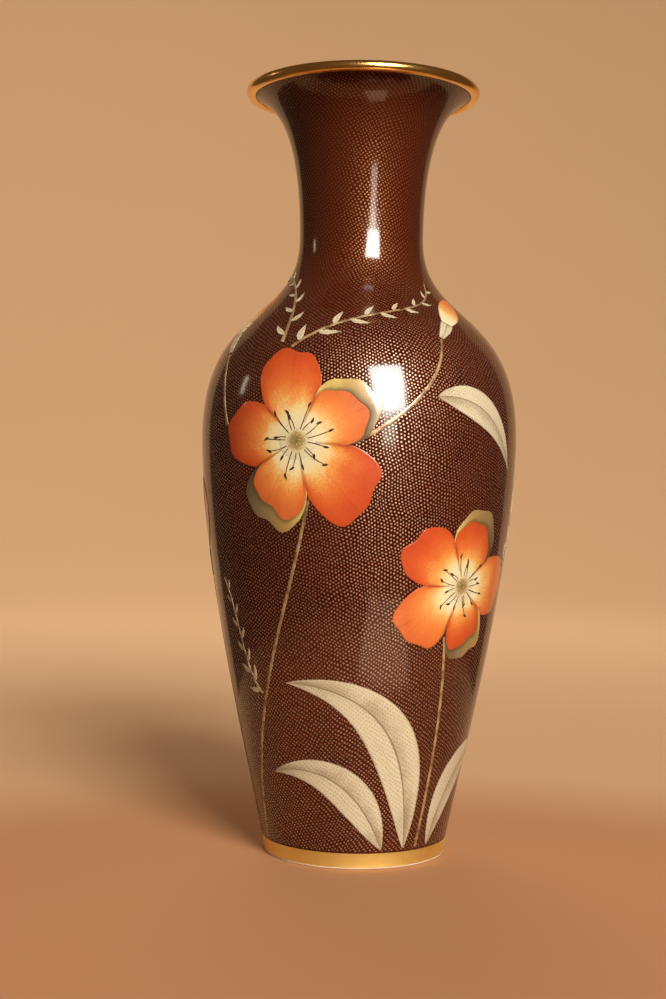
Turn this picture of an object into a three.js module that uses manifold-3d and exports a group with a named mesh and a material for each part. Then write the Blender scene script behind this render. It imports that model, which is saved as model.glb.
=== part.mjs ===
// A gilt-banded baluster vase of glazed porcelain: a slip-cast white body with its bare foot ring,
// the coats fired on it one after another (glazes, brown ground, gilding), and the enamelled flowers.
// Millimetres, +Z up. The origin is the centre of the foot ring's standing face, and the front is -Y.
import * as THREE from "three";
import { mergeVertices } from "three/addons/utils/BufferGeometryUtils.js";
import Module from "manifold-3d";

const wasm = await Module();
wasm.setup();

// Driving dimensions of the vase's visible outline
const height = 320;
const footRadius = 38;
const bellyRadius = 66;
const bellyHeight = 173.5;
const neckRadius = 26;
const neckHeight = 257;
const lipRadius = 48.9;
const lipBeadRadius = 2.2;
const wall = 4.7;
const floorHeight = 7;
const cavityInset = 2;
const cavityCove = 10;

// Driving dimensions of the foot
const footRingWidth = 5;
const footChamfer = 0.4;
const footRecess = 3;
const footRecessDraft = 0.6;
const bareFootHeight = 0.6;

// Driving dimensions of what is fired on the body
const coat = 0.4;
const enamel = 0.4;
const clearance = 0.3;
const footBandHeight = 6.5;
const lipBandInside = 4;
const cutterReach = 3;

// How the outline swells: handle lengths as shares of the height between two stations
const footHandleShare = 0.07;
const bellyLowHandleShare = 0.347;
const bellyHighHandleShare = 0.667;
const neckLowHandleShare = 0.44;
const neckHighHandleShare = 0.323;
const flareHandleShare = 0.31;
const throatHandleShare = 0.36;
const flareAngle = 19.7;
const creaseAngle = 224;
const throatAngle = 120;

// How finely the round forms are cut into facets
const segmentCount = 32;
const footToBellySteps = 6;
const bellyToNeckSteps = 8;
const neckToLipSteps = 6;
const beadSteps = 7;
const throatSteps = 4;
const insideSteps = 6;
const cavitySteps = 4;
const coveSteps = 2;

const radians = THREE.MathUtils.degToRad;
const point = (radius, z) => new THREE.Vector2(radius, z);
const along = (degrees, length = 1) =>
  point(Math.cos(radians(degrees)), Math.sin(radians(degrees))).multiplyScalar(length);

const porcelain = material("white bisque porcelain", 0xf1ece2, 0.45);
const clearGlaze = material("clear glaze over porcelain", 0xf3efe8, 0.12);
const groundGlaze = material("brown ground glaze", 0x3a1208, 0.1);
const gilding = material("burnished gilding", 0xd9a441, 0.18, 1);
const orangeEnamel = material("orange enamel", 0xe0521e, 0.2);
const deepEnamel = material("deep orange enamel", 0xc93c10, 0.2);
const oliveEnamel = material("olive gold enamel", 0xb08a3e, 0.25);
const creamEnamel = material("cream enamel", 0xe3d3a4, 0.22);

function material(name, color, roughness, metalness = 0) {
  return new THREE.MeshStandardMaterial({ name, color, roughness, metalness });
}

// The visible skin, from the foot's edge up the outside, over the lip's bead, and down the inside

/** A Bezier stretch between two stations that leaves and arrives along the given handles. */
function stretch(from, leaving, arriving, to) {
  return new THREE.CubicBezierCurve(from, from.clone().add(leaving), to.clone().sub(arriving), to);
}

const foot = point(footRadius, 0);
const belly = point(bellyRadius, bellyHeight);
const neck = point(neckRadius, neckHeight);
const beadCentre = point(lipRadius - lipBeadRadius, height - lipBeadRadius);
const crease = beadCentre.clone().add(along(creaseAngle, lipBeadRadius));
const throat = beadCentre.clone().add(along(throatAngle, lipBeadRadius));
const innerNeck = point(neckRadius - wall, neckHeight);
const innerBelly = point(bellyRadius - wall, bellyHeight);
const innerFoot = point(footRadius - cavityInset, floorHeight + cavityCove);
const floorEdge = point(innerFoot.x - cavityCove, floorHeight);

const shoulderRise = neckHeight - bellyHeight;
const flareRise = crease.y - neckHeight;
const throatRise = throat.y - neckHeight;
const cavityRise = bellyHeight - innerFoot.y;
const upwards = (length) => point(0, length);
const downwards = (length) => point(0, -length);

const outside = [
  stretch(foot, upwards(footHandleShare * bellyHeight), upwards(bellyLowHandleShare * bellyHeight), belly),
  stretch(belly, upwards(bellyHighHandleShare * shoulderRise),
    upwards(neckLowHandleShare * shoulderRise), neck),
  stretch(neck, upwards(neckHighHandleShare * flareRise),
    along(flareAngle, flareHandleShare * flareRise), crease),
];
const inside = [
  stretch(throat, along(throatAngle + 90, throatHandleShare * throatRise),
    downwards(neckHighHandleShare * throatRise), innerNeck),
  stretch(innerNeck, downwards(neckLowHandleShare * shoulderRise),
    downwards(bellyHighHandleShare * shoulderRise), innerBelly),
  stretch(innerBelly, downwards(bellyLowHandleShare * cavityRise),
    downwards(footHandleShare * cavityRise), innerFoot),
];

/** Places along a curve, each with the direction that points out of the porcelain there. */
function sample(curve, steps, from = 0, to = 1) {
  return Array.from({ length: steps + 1 }, (_, i) => {
    const t = from + ((to - from) * i) / steps;
    const tangent = curve.getTangent(t).normalize();
    return { at: curve.getPoint(t), out: point(tangent.y, -tangent.x) };
  });
}

/** Places along an arc: of the lip's bead, or of the cavity's cove, where out is towards its centre. */
function sampleArc(centre, radius, from, to, steps, sense = 1) {
  return Array.from({ length: steps + 1 }, (_, i) => {
    const out = along(from + ((to - from) * i) / steps);
    return { at: centre.clone().addScaledVector(out, radius), out: out.multiplyScalar(sense) };
  });
}

/** The share of a Bezier stretch at which it passes a height, found by halving. */
function shareAtHeight(curve, z) {
  const rising = curve.getPoint(1).y > curve.getPoint(0).y;
  let [low, high] = [0, 1];
  for (let i = 0; i < 40; i++) {
    const middle = (low + high) / 2;
    if (curve.getPoint(middle).y < z === rising) low = middle;
    else high = middle;
  }
  return low;
}

const footBandShare = shareAtHeight(outside[0], footBandHeight);
const groundShare = shareAtHeight(outside[0], footBandHeight + clearance);
const bareShare = shareAtHeight(outside[0], bareFootHeight + clearance);
const bandEndShare = shareAtHeight(inside[0], height - lipBandInside);
const linerShare = shareAtHeight(inside[0], height - lipBandInside - clearance);
const creaseLength = outside[2].getLength();
const groundEndShare = 1 - clearance / creaseLength;

const foothold = sample(outside[0], 1, bareShare, footBandShare);
const lowerBody = sample(outside[0], footToBellySteps, groundShare);
const shoulder = sample(outside[1], bellyToNeckSteps);
const flare = sample(outside[2], neckToLipSteps, 0, groundEndShare);
const bead = sampleArc(beadCentre, lipBeadRadius, creaseAngle - 360, throatAngle, beadSteps);
const gildedThroat = sample(inside[0], 2, 0, bandEndShare);
const throatWall = sample(inside[0], throatSteps, linerShare);
const innerShoulder = sample(inside[1], insideSteps);
const cavity = sample(inside[2], cavitySteps);
const coveCentre = point(floorEdge.x, innerFoot.y);
const cove = sampleArc(coveCentre, cavityCove, 0, -90, coveSteps, -1);

/** Joins stretches end to end, leaving out each place that the one before already has. */
function run(...stretches) {
  const places = [];
  for (const place of stretches.flat()) {
    const last = places[places.length - 1];
    if (!last || last.at.distanceTo(place.at) > clearance / 2) places.push(place);
  }
  return places;
}

/** The places moved into the porcelain by a depth. */
const sunk = (places, depth) => places.map((p) => p.at.clone().addScaledVector(p.out, -depth));

/** Turns a closed outline of radii and heights into a solid about +Z. */
function turned(outline) {
  return new THREE.LatheGeometry(outline, segmentCount).rotateX(Math.PI / 2).rotateZ(Math.PI);
}

/** A coat of even thickness over a run of the skin, closed at both ends. */
function fired(places, onAxis = false) {
  const outer = sunk(places, 0);
  const inner = sunk(places, coat).reverse();
  if (!onAxis) return turned([...outer, ...inner, outer[0].clone()]);
  return turned([point(0, inner[0].y), ...inner.map((p) => p.clone()).filter((p) => p.x > 0)].reverse());
}

const underCoat = coat + clearance;

/** The porcelain itself: the skin less what is fired on it, the bare foot ring and the recessed base. */
function bodyOutline() {
  const skin = sunk(
    run(foothold, lowerBody, shoulder, flare, bead, gildedThroat, throatWall, innerShoulder, cavity, cove),
    underCoat,
  );
  const ringOuter = footRadius - footChamfer;
  const ringInner = ringOuter - footRingWidth;
  return [
    point(0, footRecess),
    point(ringInner - footRecessDraft, footRecess),
    point(ringInner, 0),
    point(ringOuter, 0),
    point(footRadius, footChamfer),
    point(footRadius, bareFootHeight),
    point(footRadius - underCoat, bareFootHeight),
    ...skin,
    point(0, floorHeight - underCoat),
  ];
}

/** The clear glaze that lines the cavity, from the gilding's edge to the middle of the floor. */
function linerOutline() {
  const places = run(throatWall, innerShoulder, cavity, cove);
  return [
    point(0, floorHeight - coat),
    ...sunk(places, coat).reverse(),
    ...sunk(places, 0),
    point(0, floorHeight),
  ];
}

/** The clear glaze in the recess under the base, inside the bare foot ring. */
function baseGlazeOutline() {
  const edge = footRadius - footChamfer - footRingWidth - footRecessDraft - clearance;
  const top = footRecess - clearance;
  return [point(0, top - coat), point(edge - coat, top - coat), point(edge, top), point(0, top)];
}

// The enamelled flowers: each motif is drawn flat, wrapped on the vase as a thick cutter, and cut out
// of one thin shell that lies all round the ground glaze. A motif's flat unit is this angle round the
// vase, times what widens it where the vase is narrow, and this share of the outline's length.
const unitAngle = 57.3;
const unitRiseShare = 0.196;

const outline = new THREE.CurvePath();
outside.forEach((curve) => outline.add(curve));

/** A closed geometry as a solid that can be cut. */
function solidOf(geometry) {
  geometry.deleteAttribute("normal");
  geometry.deleteAttribute("uv");
  const merged = mergeVertices(geometry);
  const vertProperties = merged.getAttribute("position").array;
  return new wasm.Manifold(new wasm.Mesh({ numProp: 3, vertProperties, triVerts: merged.index.array }));
}

/** A solid as a geometry again. */
function geometryOf(solid) {
  const mesh = solid.getMesh();
  const geometry = new THREE.BufferGeometry();
  geometry.setAttribute("position", new THREE.BufferAttribute(mesh.vertProperties, 3));
  geometry.setIndex(new THREE.BufferAttribute(mesh.triVerts, 1));
  return geometry;
}

/** The shell of enamel, over the ground glaze from one gilt band to the other. */
function enamelShell() {
  const places = run(lowerBody, shoulder, flare);
  const outer = sunk(places, -clearance - enamel);
  const inner = sunk(places, -clearance).reverse();
  return solidOf(turned([...outer, ...inner, outer[0].clone()]));
}

const shell = enamelShell();

/** Wraps a flat place round the vase, at a height over its skin. Azimuth 0 is the front, + to the right. */
function wrap(motif, x, y, lift) {
  const turn = radians(motif.turn ?? 0);
  const across = x * Math.cos(turn) - y * Math.sin(turn);
  const up = x * Math.sin(turn) + y * Math.cos(turn);
  const share = THREE.MathUtils.clamp(motif.rise + up * unitRiseShare, 0, 1);
  const at = outline.getPoint(share);
  const tangent = outline.getTangent(share).normalize();
  const angle = radians(motif.azimuth + across * motif.widen * unitAngle);
  const radius = at.x + tangent.y * lift;
  return [radius * Math.sin(angle), -radius * Math.cos(angle), at.y - tangent.x * lift];
}

/** Cuts a motif out of the shell: a flat mesh of places, and the loop of its edge. */
function laidOn(motif, places, faces, loop) {
  const lower = places.map(([x, y]) => wrap(motif, x, y, -cutterReach));
  const upper = places.map(([x, y]) => wrap(motif, x, y, cutterReach));
  const count = places.length;
  const index = faces.flatMap(([a, b, c]) => [a + count, b + count, c + count, c, b, a]);
  loop.forEach((a, i) => {
    const b = loop[(i + 1) % loop.length];
    index.push(a, b, b + count, a, b + count, a + count);
  });
  const cutter = new THREE.BufferGeometry();
  cutter.setAttribute("position", new THREE.Float32BufferAttribute([...lower, ...upper].flat(), 3));
  cutter.setIndex(index);
  return geometryOf(shell.intersect(solidOf(cutter)));
}

/** A patch of rows by columns, where place gives x and y at shares of its length and width. */
function patch(motif, rows, columns, place) {
  const places = [];
  const faces = [];
  const id = (i, j) => i * (columns + 1) + j;
  for (let i = 0; i <= rows; i++)
    for (let j = 0; j <= columns; j++) places.push(place(i / rows, j / columns));
  for (let i = 0; i < rows; i++)
    for (let j = 0; j < columns; j++) {
      faces.push([id(i, j), id(i, j + 1), id(i + 1, j + 1)]);
      faces.push([id(i, j), id(i + 1, j + 1), id(i + 1, j)]);
    }
  const loop = [];
  for (let j = 0; j < columns; j++) loop.push(id(0, j));
  for (let i = 0; i < rows; i++) loop.push(id(i, columns));
  for (let j = columns; j > 0; j--) loop.push(id(rows, j));
  for (let i = rows; i > 0; i--) loop.push(id(i, 0));
  return laidOn(motif, places, faces, loop);
}

// Petals: sectors round a heart, with a rippled outer edge. Some tips are rolled over and end in olive,
// deepest where they lean to, which is a place between the petal's two sides (-1 and 1).
const petalRows = 1;
const petalColumns = 4;
const heartRows = 2;
const heartShare = 0.2;
const petalStartShare = 0.22;
const petalGapShare = 0.006;
const rollThinShare = 0.03;
const rollDeepShare = 0.17;
const petalRoundShare = 0.42;
const petalRippleShare = 0.035;

/** The outer edge of a petal, as a share of its length, from one side (-1) to the other (1). */
function petalEdge(side, seed) {
  const ripple = Math.sin(5 * side + seed) + Math.sin(11 * side + 2 * seed) / 2;
  return 1 - petalRoundShare * Math.abs(side) ** 3 + petalRippleShare * ripple;
}

/** How much of a petal's length its rolled tip takes, from one side to the other. */
function rollDepth(side, lean) {
  const away = (side - lean) / (1 + Math.abs(lean));
  return rollThinShare + rollDeepShare * Math.cos((Math.PI / 2) * away);
}

/** A petal as far as its rolled tip, or that tip alone. */
function petalPart(blossom, petal, isTip = false) {
  const isRolled = petal.lean !== undefined;
  return patch(blossom, petalRows, petalColumns, (u, v) => {
    const side = 1 - 2 * v;
    const reach = blossom.size * petal.length * petalEdge(side, petal.seed);
    const roll = isRolled ? reach * (1 - rollDepth(side, petal.lean)) : reach;
    const inner = isRolled ? roll - 2 * petalGapShare * blossom.size : roll;
    const [start, end] = isTip ? [roll, reach] : [blossom.size * petalStartShare, inner];
    const radius = start + (end - start) * u;
    const halfWidth = radians(petal.spread / 2) - Math.asin((blossom.size * petalGapShare) / radius);
    const angle = radians(petal.angle) + side * halfWidth;
    return [radius * Math.cos(angle), radius * Math.sin(angle)];
  });
}

/** The round heart in the middle of a blossom. */
function heart(blossom) {
  const size = blossom.size * heartShare;
  return patch(blossom, heartRows, heartRows, (u, v) => {
    const [a, b] = [2 * v - 1, 2 * u - 1];
    return [size * a * Math.sqrt(1 - (b * b) / 2), size * b * Math.sqrt(1 - (a * a) / 2)];
  });
}

// Ribbons: leaves, stems, buds and their cups, drawn along a curved spine
const leafRows = 7;
const stemRows = 5;
const bloomRows = 5;
const cupRows = 2;
const ribbonEndShare = 0.06;
const budEndShare = 0.18;
const stemTaperShare = 0.35;
const cupFootShare = 0.35;

const leafShape = (u) => Math.max(ribbonEndShare, Math.sin(Math.PI * u ** 0.85) ** 0.9);
const stemShape = (u) => 1 - stemTaperShare * u;
const budShape = (u) => Math.max(budEndShare, Math.sin(Math.PI * (0.12 + 0.85 * u)) ** 0.7);
const cupShape = (u) => cupFootShare + (1 - cupFootShare) * Math.sin((Math.PI / 2) * u);

/** The cubic curve through which a spine of four places runs. */
function spineOf(places) {
  return new THREE.CubicBezierCurve(...places.map(([x, y]) => point(x, y)));
}

/** A ribbon along a spine whose half width swells and narrows as the shape says. */
function ribbon(motif, rows, shape) {
  const spine = spineOf(motif.spine);
  return patch(motif, rows, 1, (u, v) => {
    const at = spine.getPoint(u);
    const tangent = spine.getTangent(u).normalize();
    const offset = (2 * v - 1) * motif.width * shape(u);
    return [at.x + tangent.y * offset, at.y - tangent.x * offset];
  });
}

/** A ribbon that belongs to a larger motif, scaled and placed with it. */
function memberOf(motif, ribbonShares) {
  const spine = ribbonShares.spine.map(([x, y]) => [x * motif.size, y * motif.size]);
  return { ...motif, spine, width: ribbonShares.width * motif.size };
}

// Sprigs: a thin stem with leaflets to both sides in turn, cut out as one outline
const sprigStemShare = 0.009;
const leafletFootShare = 0.16;
const leafletTaperShare = 0.5;
const leafletLeanAngle = 42;

/** The outline of a sprig, up its left side and back down its right. */
function sprigOutline(sprig) {
  const spine = spineOf(sprig.spine);
  const steps = 2 * sprig.leaflets + 1;
  const left = [];
  const right = [];
  for (let i = 0; i <= steps; i++) {
    const share = i / steps;
    const at = spine.getPoint(share);
    const tangent = spine.getTangent(share).normalize();
    const isLeaf = i % 2 === 1 && i < steps;
    for (const side of [1, -1]) {
      const edges = side > 0 ? left : right;
      const normal = point(-tangent.y, tangent.x).multiplyScalar(side);
      const edge = at.clone().addScaledVector(normal, sprigStemShare);
      if (!isLeaf || side !== (i % 4 === 1 ? 1 : -1)) {
        edges.push(edge);
        continue;
      }
      const length = sprig.leaflet * (1 - leafletTaperShare * share);
      const lean = radians(leafletLeanAngle);
      const direction = tangent.clone().multiplyScalar(Math.cos(lean));
      direction.addScaledVector(normal, Math.sin(lean));
      edges.push(edge.clone().addScaledVector(tangent, -length * leafletFootShare));
      edges.push(edge.clone().addScaledVector(direction, length));
      edges.push(edge.clone().addScaledVector(tangent, length * leafletFootShare));
    }
  }
  return [...left, ...right.reverse()];
}

/** A sprig cut out as one piece. */
function sprigPiece(sprig) {
  const edge = sprigOutline(sprig);
  if (THREE.ShapeUtils.isClockWise(edge)) edge.reverse();
  const faces = THREE.ShapeUtils.triangulateShape(edge, []);
  return laidOn(sprig, edge.map((p) => [p.x, p.y]), faces, edge.map((_, i) => i));
}

// Where each motif lies. Azimuths, angles, spreads and turns are degrees, a rise is a share of the
// outline's length, and every other number here is in flat units or a share of the motif's size.
const blossomShares = [
  {
    name: "front_blossom", widen: 1, azimuth: -22, rise: 0.512, turn: 12, size: 0.56, petals: [
      { angle: 90, spread: 70, length: 1, seed: 0.4 },
      { angle: 19, spread: 72, length: 0.94, seed: 2.1, lean: 0.4 },
      { angle: -54, spread: 74, length: 1.02, seed: 3.7 },
      { angle: -127, spread: 72, length: 0.96, seed: 5.2, lean: -0.35 },
      { angle: -199, spread: 72, length: 0.92, seed: 1.3 },
    ],
  },
  {
    name: "low_blossom", widen: 1.09, azimuth: 42, rise: 0.345, turn: -20, size: 0.49, petals: [
      { angle: 92, spread: 74, length: 0.95, seed: 1.9, lean: -0.4 },
      { angle: 19, spread: 72, length: 1.02, seed: 0.8 },
      { angle: -53, spread: 72, length: 0.93, seed: 4.4, lean: 0.3 },
      { angle: -125, spread: 72, length: 1, seed: 2.9 },
      { angle: -196, spread: 70, length: 0.96, seed: 5.8 },
    ],
  },
  {
    name: "back_blossom", widen: 1, azimuth: 168, rise: 0.5, turn: 30, size: 0.54, petals: [
      { angle: 90, spread: 72, length: 0.97, seed: 3.1 },
      { angle: 18, spread: 72, length: 1, seed: 4.9, lean: 0.35 },
      { angle: -54, spread: 72, length: 0.93, seed: 0.2 },
      { angle: -126, spread: 72, length: 1.01, seed: 2.5 },
      { angle: -198, spread: 72, length: 0.95, seed: 1.6, lean: -0.4 },
    ],
  },
];

const halfOpenShares = {
  name: "side_blossom", widen: 1.03, azimuth: -88, rise: 0.38, turn: 6, size: 0.48,
  cup: { spine: [[0, -0.36], [0, -0.26], [0, -0.12], [0, 0]], width: 0.17 },
  petals: [
    { name: "left", spine: [[-0.13, 0.03], [-0.42, 0.2], [-0.5, 0.62], [-0.32, 0.96]], width: 0.12 },
    { name: "middle", spine: [[0, 0.016], [0, 0.35], [0, 0.7], [0.02, 1.06]], width: 0.19 },
    { name: "right", spine: [[0.13, 0.03], [0.42, 0.2], [0.5, 0.62], [0.34, 0.92]], width: 0.12 },
  ],
};

const budFormShares = {
  bloom: { spine: [[0, 0.019], [0.02, 0.3], [0.1, 0.6], [0.26, 0.86]], width: 0.17 },
  cup: { spine: [[-0.02, -0.36], [-0.01, -0.24], [0, -0.12], [0, 0]], width: 0.09 },
};

const budShares = [
  { name: "right_bud", widen: 1.3, azimuth: 42, rise: 0.665, turn: -38, size: 0.46 },
  { name: "left_bud", widen: 1.26, azimuth: -68, rise: 0.65, turn: 26, size: 0.44 },
  { name: "back_bud", widen: 1.12, azimuth: 124, rise: 0.61, turn: 24, size: 0.46 },
];

const leafShares = [
  { name: "foot_leaf_long", widen: 1.36, azimuth: 29, rise: 0.024, width: 0.15,
    spine: [[0, 0], [-0.04, 0.55], [-0.2, 1.05], [-0.78, 1.04]] },
  { name: "foot_leaf_low", widen: 1.44, azimuth: 15, rise: 0.024, width: 0.12,
    spine: [[0, 0], [-0.14, 0.3], [-0.32, 0.6], [-0.74, 0.46]] },
  { name: "foot_leaf_right", widen: 1.42, azimuth: 47, rise: 0.024, width: 0.12,
    spine: [[0, 0], [0.08, 0.4], [0.26, 0.62], [0.56, 0.56]] },
  { name: "side_leaf", widen: 1.36, azimuth: -98, rise: 0.024, width: 0.14,
    spine: [[0, 0], [-0.06, 0.5], [-0.2, 0.8], [-0.56, 0.8]] },
  { name: "shoulder_leaf", widen: 1.02, azimuth: 27, rise: 0.565, width: 0.1,
    spine: [[0, 0], [0.24, 0.02], [0.5, -0.08], [0.66, -0.42]] },
  { name: "back_leaf_left", widen: 1.33, azimuth: 164, rise: 0.024, width: 0.15,
    spine: [[0, 0], [0.1, 0.5], [0.3, 0.95], [0.75, 1.12]] },
  { name: "back_leaf_right", widen: 1.36, azimuth: 142, rise: 0.024, width: 0.13,
    spine: [[0, 0], [-0.1, 0.36], [-0.26, 0.7], [-0.6, 0.7]] },
];

const stemShares = [
  { name: "low_blossom_stem", widen: 1.35, azimuth: 38, rise: 0.024, width: 0.012,
    spine: [[0, 0], [0.05, 0.4], [0.04, 0.9], [-0.02, 1.33]] },
  { name: "front_blossom_stem", widen: 1.27, azimuth: -66, rise: 0.024, width: 0.012,
    spine: [[0, 0], [0.1, 0.6], [0.52, 1.3], [0.655, 2.143]] },
  { name: "side_blossom_stem", widen: 1.3, azimuth: -82, rise: 0.024, width: 0.012,
    spine: [[0, 0], [0.04, 0.55], [-0.1, 1.1], [-0.066, 1.635]] },
  { name: "right_bud_stem", widen: 1.1, azimuth: 13, rise: 0.53, width: 0.012,
    spine: [[-0.19, -0.07], [0.02, 0.06], [0.24, 0.24], [0.325, 0.553]] },
  { name: "left_bud_stem", widen: 1.05, azimuth: -55, rise: 0.535, width: 0.012,
    spine: [[0.03, -0.02], [-0.03, 0.12], [-0.07, 0.28], [-0.139, 0.428]] },
  { name: "back_blossom_stem", widen: 1.25, azimuth: 153, rise: 0.024, width: 0.012,
    spine: [[0, 0], [0.06, 0.6], [0.08, 1.25], [0.17, 1.874]] },
  { name: "back_bud_stem", widen: 1.05, azimuth: 143, rise: 0.54, width: 0.012,
    spine: [[0.1, -0.04], [-0.06, 0.0], [-0.2, 0.06], [-0.246, 0.196]] },
];

const sprigShares = [
  { name: "shoulder_sprig", widen: 1.45, azimuth: -18, rise: 0.64, leaflets: 12, leaflet: 0.13,
    spine: [[-0.12, -0.08], [0.18, 0.3], [0.6, 0.12], [0.84, 0.52]] },
  { name: "left_sprig", widen: 1.55, azimuth: -35, rise: 0.665, leaflets: 9, leaflet: 0.11,
    spine: [[0.02, -0.17], [0.03, 0.2], [-0.2, 0.46], [-0.56, 0.46]] },
  { name: "stem_sprig", widen: 1.16, azimuth: -50, rise: 0.235, leaflets: 10, leaflet: 0.11,
    spine: [[0.06, -0.12], [-0.12, 0.02], [-0.06, 0.34], [-0.2, 0.58]] },
  { name: "right_sprig", widen: 1.01, azimuth: 82, rise: 0.46, leaflets: 11, leaflet: 0.11,
    spine: [[-0.14, -0.51], [0.16, -0.1], [0.08, 0.4], [0.3, 0.74]] },
  { name: "back_sprig", widen: 1.1, azimuth: -150, rise: 0.58, leaflets: 12, leaflet: 0.11,
    spine: [[-0.35, 0.02], [0.0, 0.26], [0.4, 0.06], [0.66, 0.4]] },
];

// The vase, piece by piece

const vase = new THREE.Group();
vase.name = "vase";

function add(name, geometry, finish) {
  const mesh = new THREE.Mesh(geometry, finish);
  mesh.name = name;
  vase.add(mesh);
}

function addCoats() {
  add("porcelain_body", turned(bodyOutline()), porcelain);
  add("inner_glaze", turned(linerOutline()), clearGlaze);
  add("base_glaze", turned(baseGlazeOutline()), clearGlaze);
  add("ground_glaze", fired(run(lowerBody, shoulder, flare)), groundGlaze);
  add("foot_gilding", fired(foothold), gilding);
  add("lip_gilding", fired(run(bead, gildedThroat)), gilding);
}

function addBlossoms() {
  for (const blossom of blossomShares) {
    add(`${blossom.name}_heart`, heart(blossom), creamEnamel);
    blossom.petals.forEach((petal, i) => {
      const name = `${blossom.name}_petal_${i + 1}`;
      add(name, petalPart(blossom, petal), i % 2 ? orangeEnamel : deepEnamel);
      if (petal.lean !== undefined) add(`${name}_fold`, petalPart(blossom, petal, true), oliveEnamel);
    });
  }
}

function addHalfOpenBlossom() {
  const { name, cup, petals } = halfOpenShares;
  add(`${name}_cup`, ribbon(memberOf(halfOpenShares, cup), cupRows, cupShape), creamEnamel);
  for (const petal of petals) {
    const geometry = ribbon(memberOf(halfOpenShares, petal), bloomRows, leafShape);
    add(`${name}_petal_${petal.name}`, geometry, orangeEnamel);
  }
}

function addBuds() {
  for (const bud of budShares) {
    add(bud.name, ribbon(memberOf(bud, budFormShares.bloom), bloomRows, budShape), orangeEnamel);
    add(`${bud.name}_cup`, ribbon(memberOf(bud, budFormShares.cup), cupRows, cupShape), creamEnamel);
  }
}

function addGreenery() {
  for (const leaf of leafShares) add(leaf.name, ribbon(leaf, leafRows, leafShape), creamEnamel);
  for (const stem of stemShares) add(stem.name, ribbon(stem, stemRows, stemShape), creamEnamel);
  for (const sprig of sprigShares) add(sprig.name, sprigPiece(sprig), creamEnamel);
}

addCoats();
addBlossoms();
addHalfOpenBlossom();
addBuds();
addGreenery();

export default vase;
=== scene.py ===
"""A gilt-banded baluster vase of glazed porcelain, dressed for its picture.

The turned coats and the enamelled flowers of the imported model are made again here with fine
surfaces, each in the place of its CAD node, and given the finishes of the real vase: a glossy dark
brown ground that is covered in small tan dots, burnished gilding, and shaded enamel.
"""

import bisect
import logging
import math
from collections.abc import Callable, Mapping, Sequence
from dataclasses import dataclass, field
from enum import Enum

import bpy
from mathutils import Matrix, Vector


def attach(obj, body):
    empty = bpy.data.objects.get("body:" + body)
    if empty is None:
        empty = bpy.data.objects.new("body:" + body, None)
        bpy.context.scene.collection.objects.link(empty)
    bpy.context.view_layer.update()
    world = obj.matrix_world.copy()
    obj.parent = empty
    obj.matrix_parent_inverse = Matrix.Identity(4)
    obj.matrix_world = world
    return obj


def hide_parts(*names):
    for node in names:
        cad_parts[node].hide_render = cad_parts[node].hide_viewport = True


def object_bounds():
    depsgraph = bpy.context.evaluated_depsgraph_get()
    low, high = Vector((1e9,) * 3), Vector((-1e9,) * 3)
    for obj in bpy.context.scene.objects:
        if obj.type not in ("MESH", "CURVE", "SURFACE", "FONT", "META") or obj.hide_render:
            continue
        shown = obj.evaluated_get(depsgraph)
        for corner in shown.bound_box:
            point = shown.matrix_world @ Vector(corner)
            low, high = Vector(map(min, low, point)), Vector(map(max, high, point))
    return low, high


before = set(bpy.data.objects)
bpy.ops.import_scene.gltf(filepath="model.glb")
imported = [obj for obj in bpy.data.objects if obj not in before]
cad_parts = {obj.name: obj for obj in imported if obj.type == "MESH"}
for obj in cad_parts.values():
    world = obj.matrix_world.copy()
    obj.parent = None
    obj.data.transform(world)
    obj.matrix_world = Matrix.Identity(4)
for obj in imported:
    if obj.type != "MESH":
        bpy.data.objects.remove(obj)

log = logging.getLogger("vase")

MM = 0.001
BODY = "root"
CAD_LOW, CAD_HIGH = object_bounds()

HALVINGS = 40

Flat = tuple[float, float]
Colour = tuple[float, float, float]
Value = "float | Shade | tuple"


def select_only(piece: bpy.types.Object) -> None:
    """Makes one object the only selected one, and the active one.

    Args:
        piece: The object.
    """
    bpy.ops.object.select_all(action="DESELECT")
    piece.select_set(True)
    bpy.context.view_layer.objects.active = piece


def unit(vector: Flat) -> Flat:
    """A flat vector brought to length 1."""
    length = math.hypot(*vector)
    return vector[0] / length, vector[1] / length


def mix(low: float, high: float, share: float) -> float:
    """A value between two, at a share of the way."""
    return low + (high - low) * share


# The outline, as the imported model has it


@dataclass(frozen=True)
class Stretch:
    """A cubic Bezier stretch of the outline, in radii and heights.

    Attributes:
        places: Its four control places.
    """

    places: tuple[Flat, Flat, Flat, Flat]

    def at(self, t: float) -> Flat:
        """The place at a parameter from 0 to 1."""
        a, b, c, d = ((1 - t) ** 3, 3 * t * (1 - t) ** 2, 3 * t * t * (1 - t), t**3)
        return tuple(a * p + b * q + c * r + d * s for p, q, r, s in zip(*self.places))

    def heading(self, t: float) -> Flat:
        """The direction of travel.

        Args:
            t: A parameter from 0 to 1.

        Returns:
            The direction, of length 1.
        """
        a, b, c = ((1 - t) ** 2, 2 * t * (1 - t), t * t)
        p0, p1, p2, p3 = self.places
        return unit(tuple(a * (p1[k] - p0[k]) + b * (p2[k] - p1[k]) + c * (p3[k] - p2[k]) for k in (0, 1)))


@dataclass(frozen=True)
class Place:
    """A place on the porcelain's skin.

    Attributes:
        at: Its radius and height.
        out: The direction that points out of the porcelain there.
    """

    at: Flat
    out: Flat

    def lifted(self, lift: float) -> Flat:
        """The place moved out of the porcelain by a height."""
        return self.at[0] + self.out[0] * lift, self.at[1] + self.out[1] * lift


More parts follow.
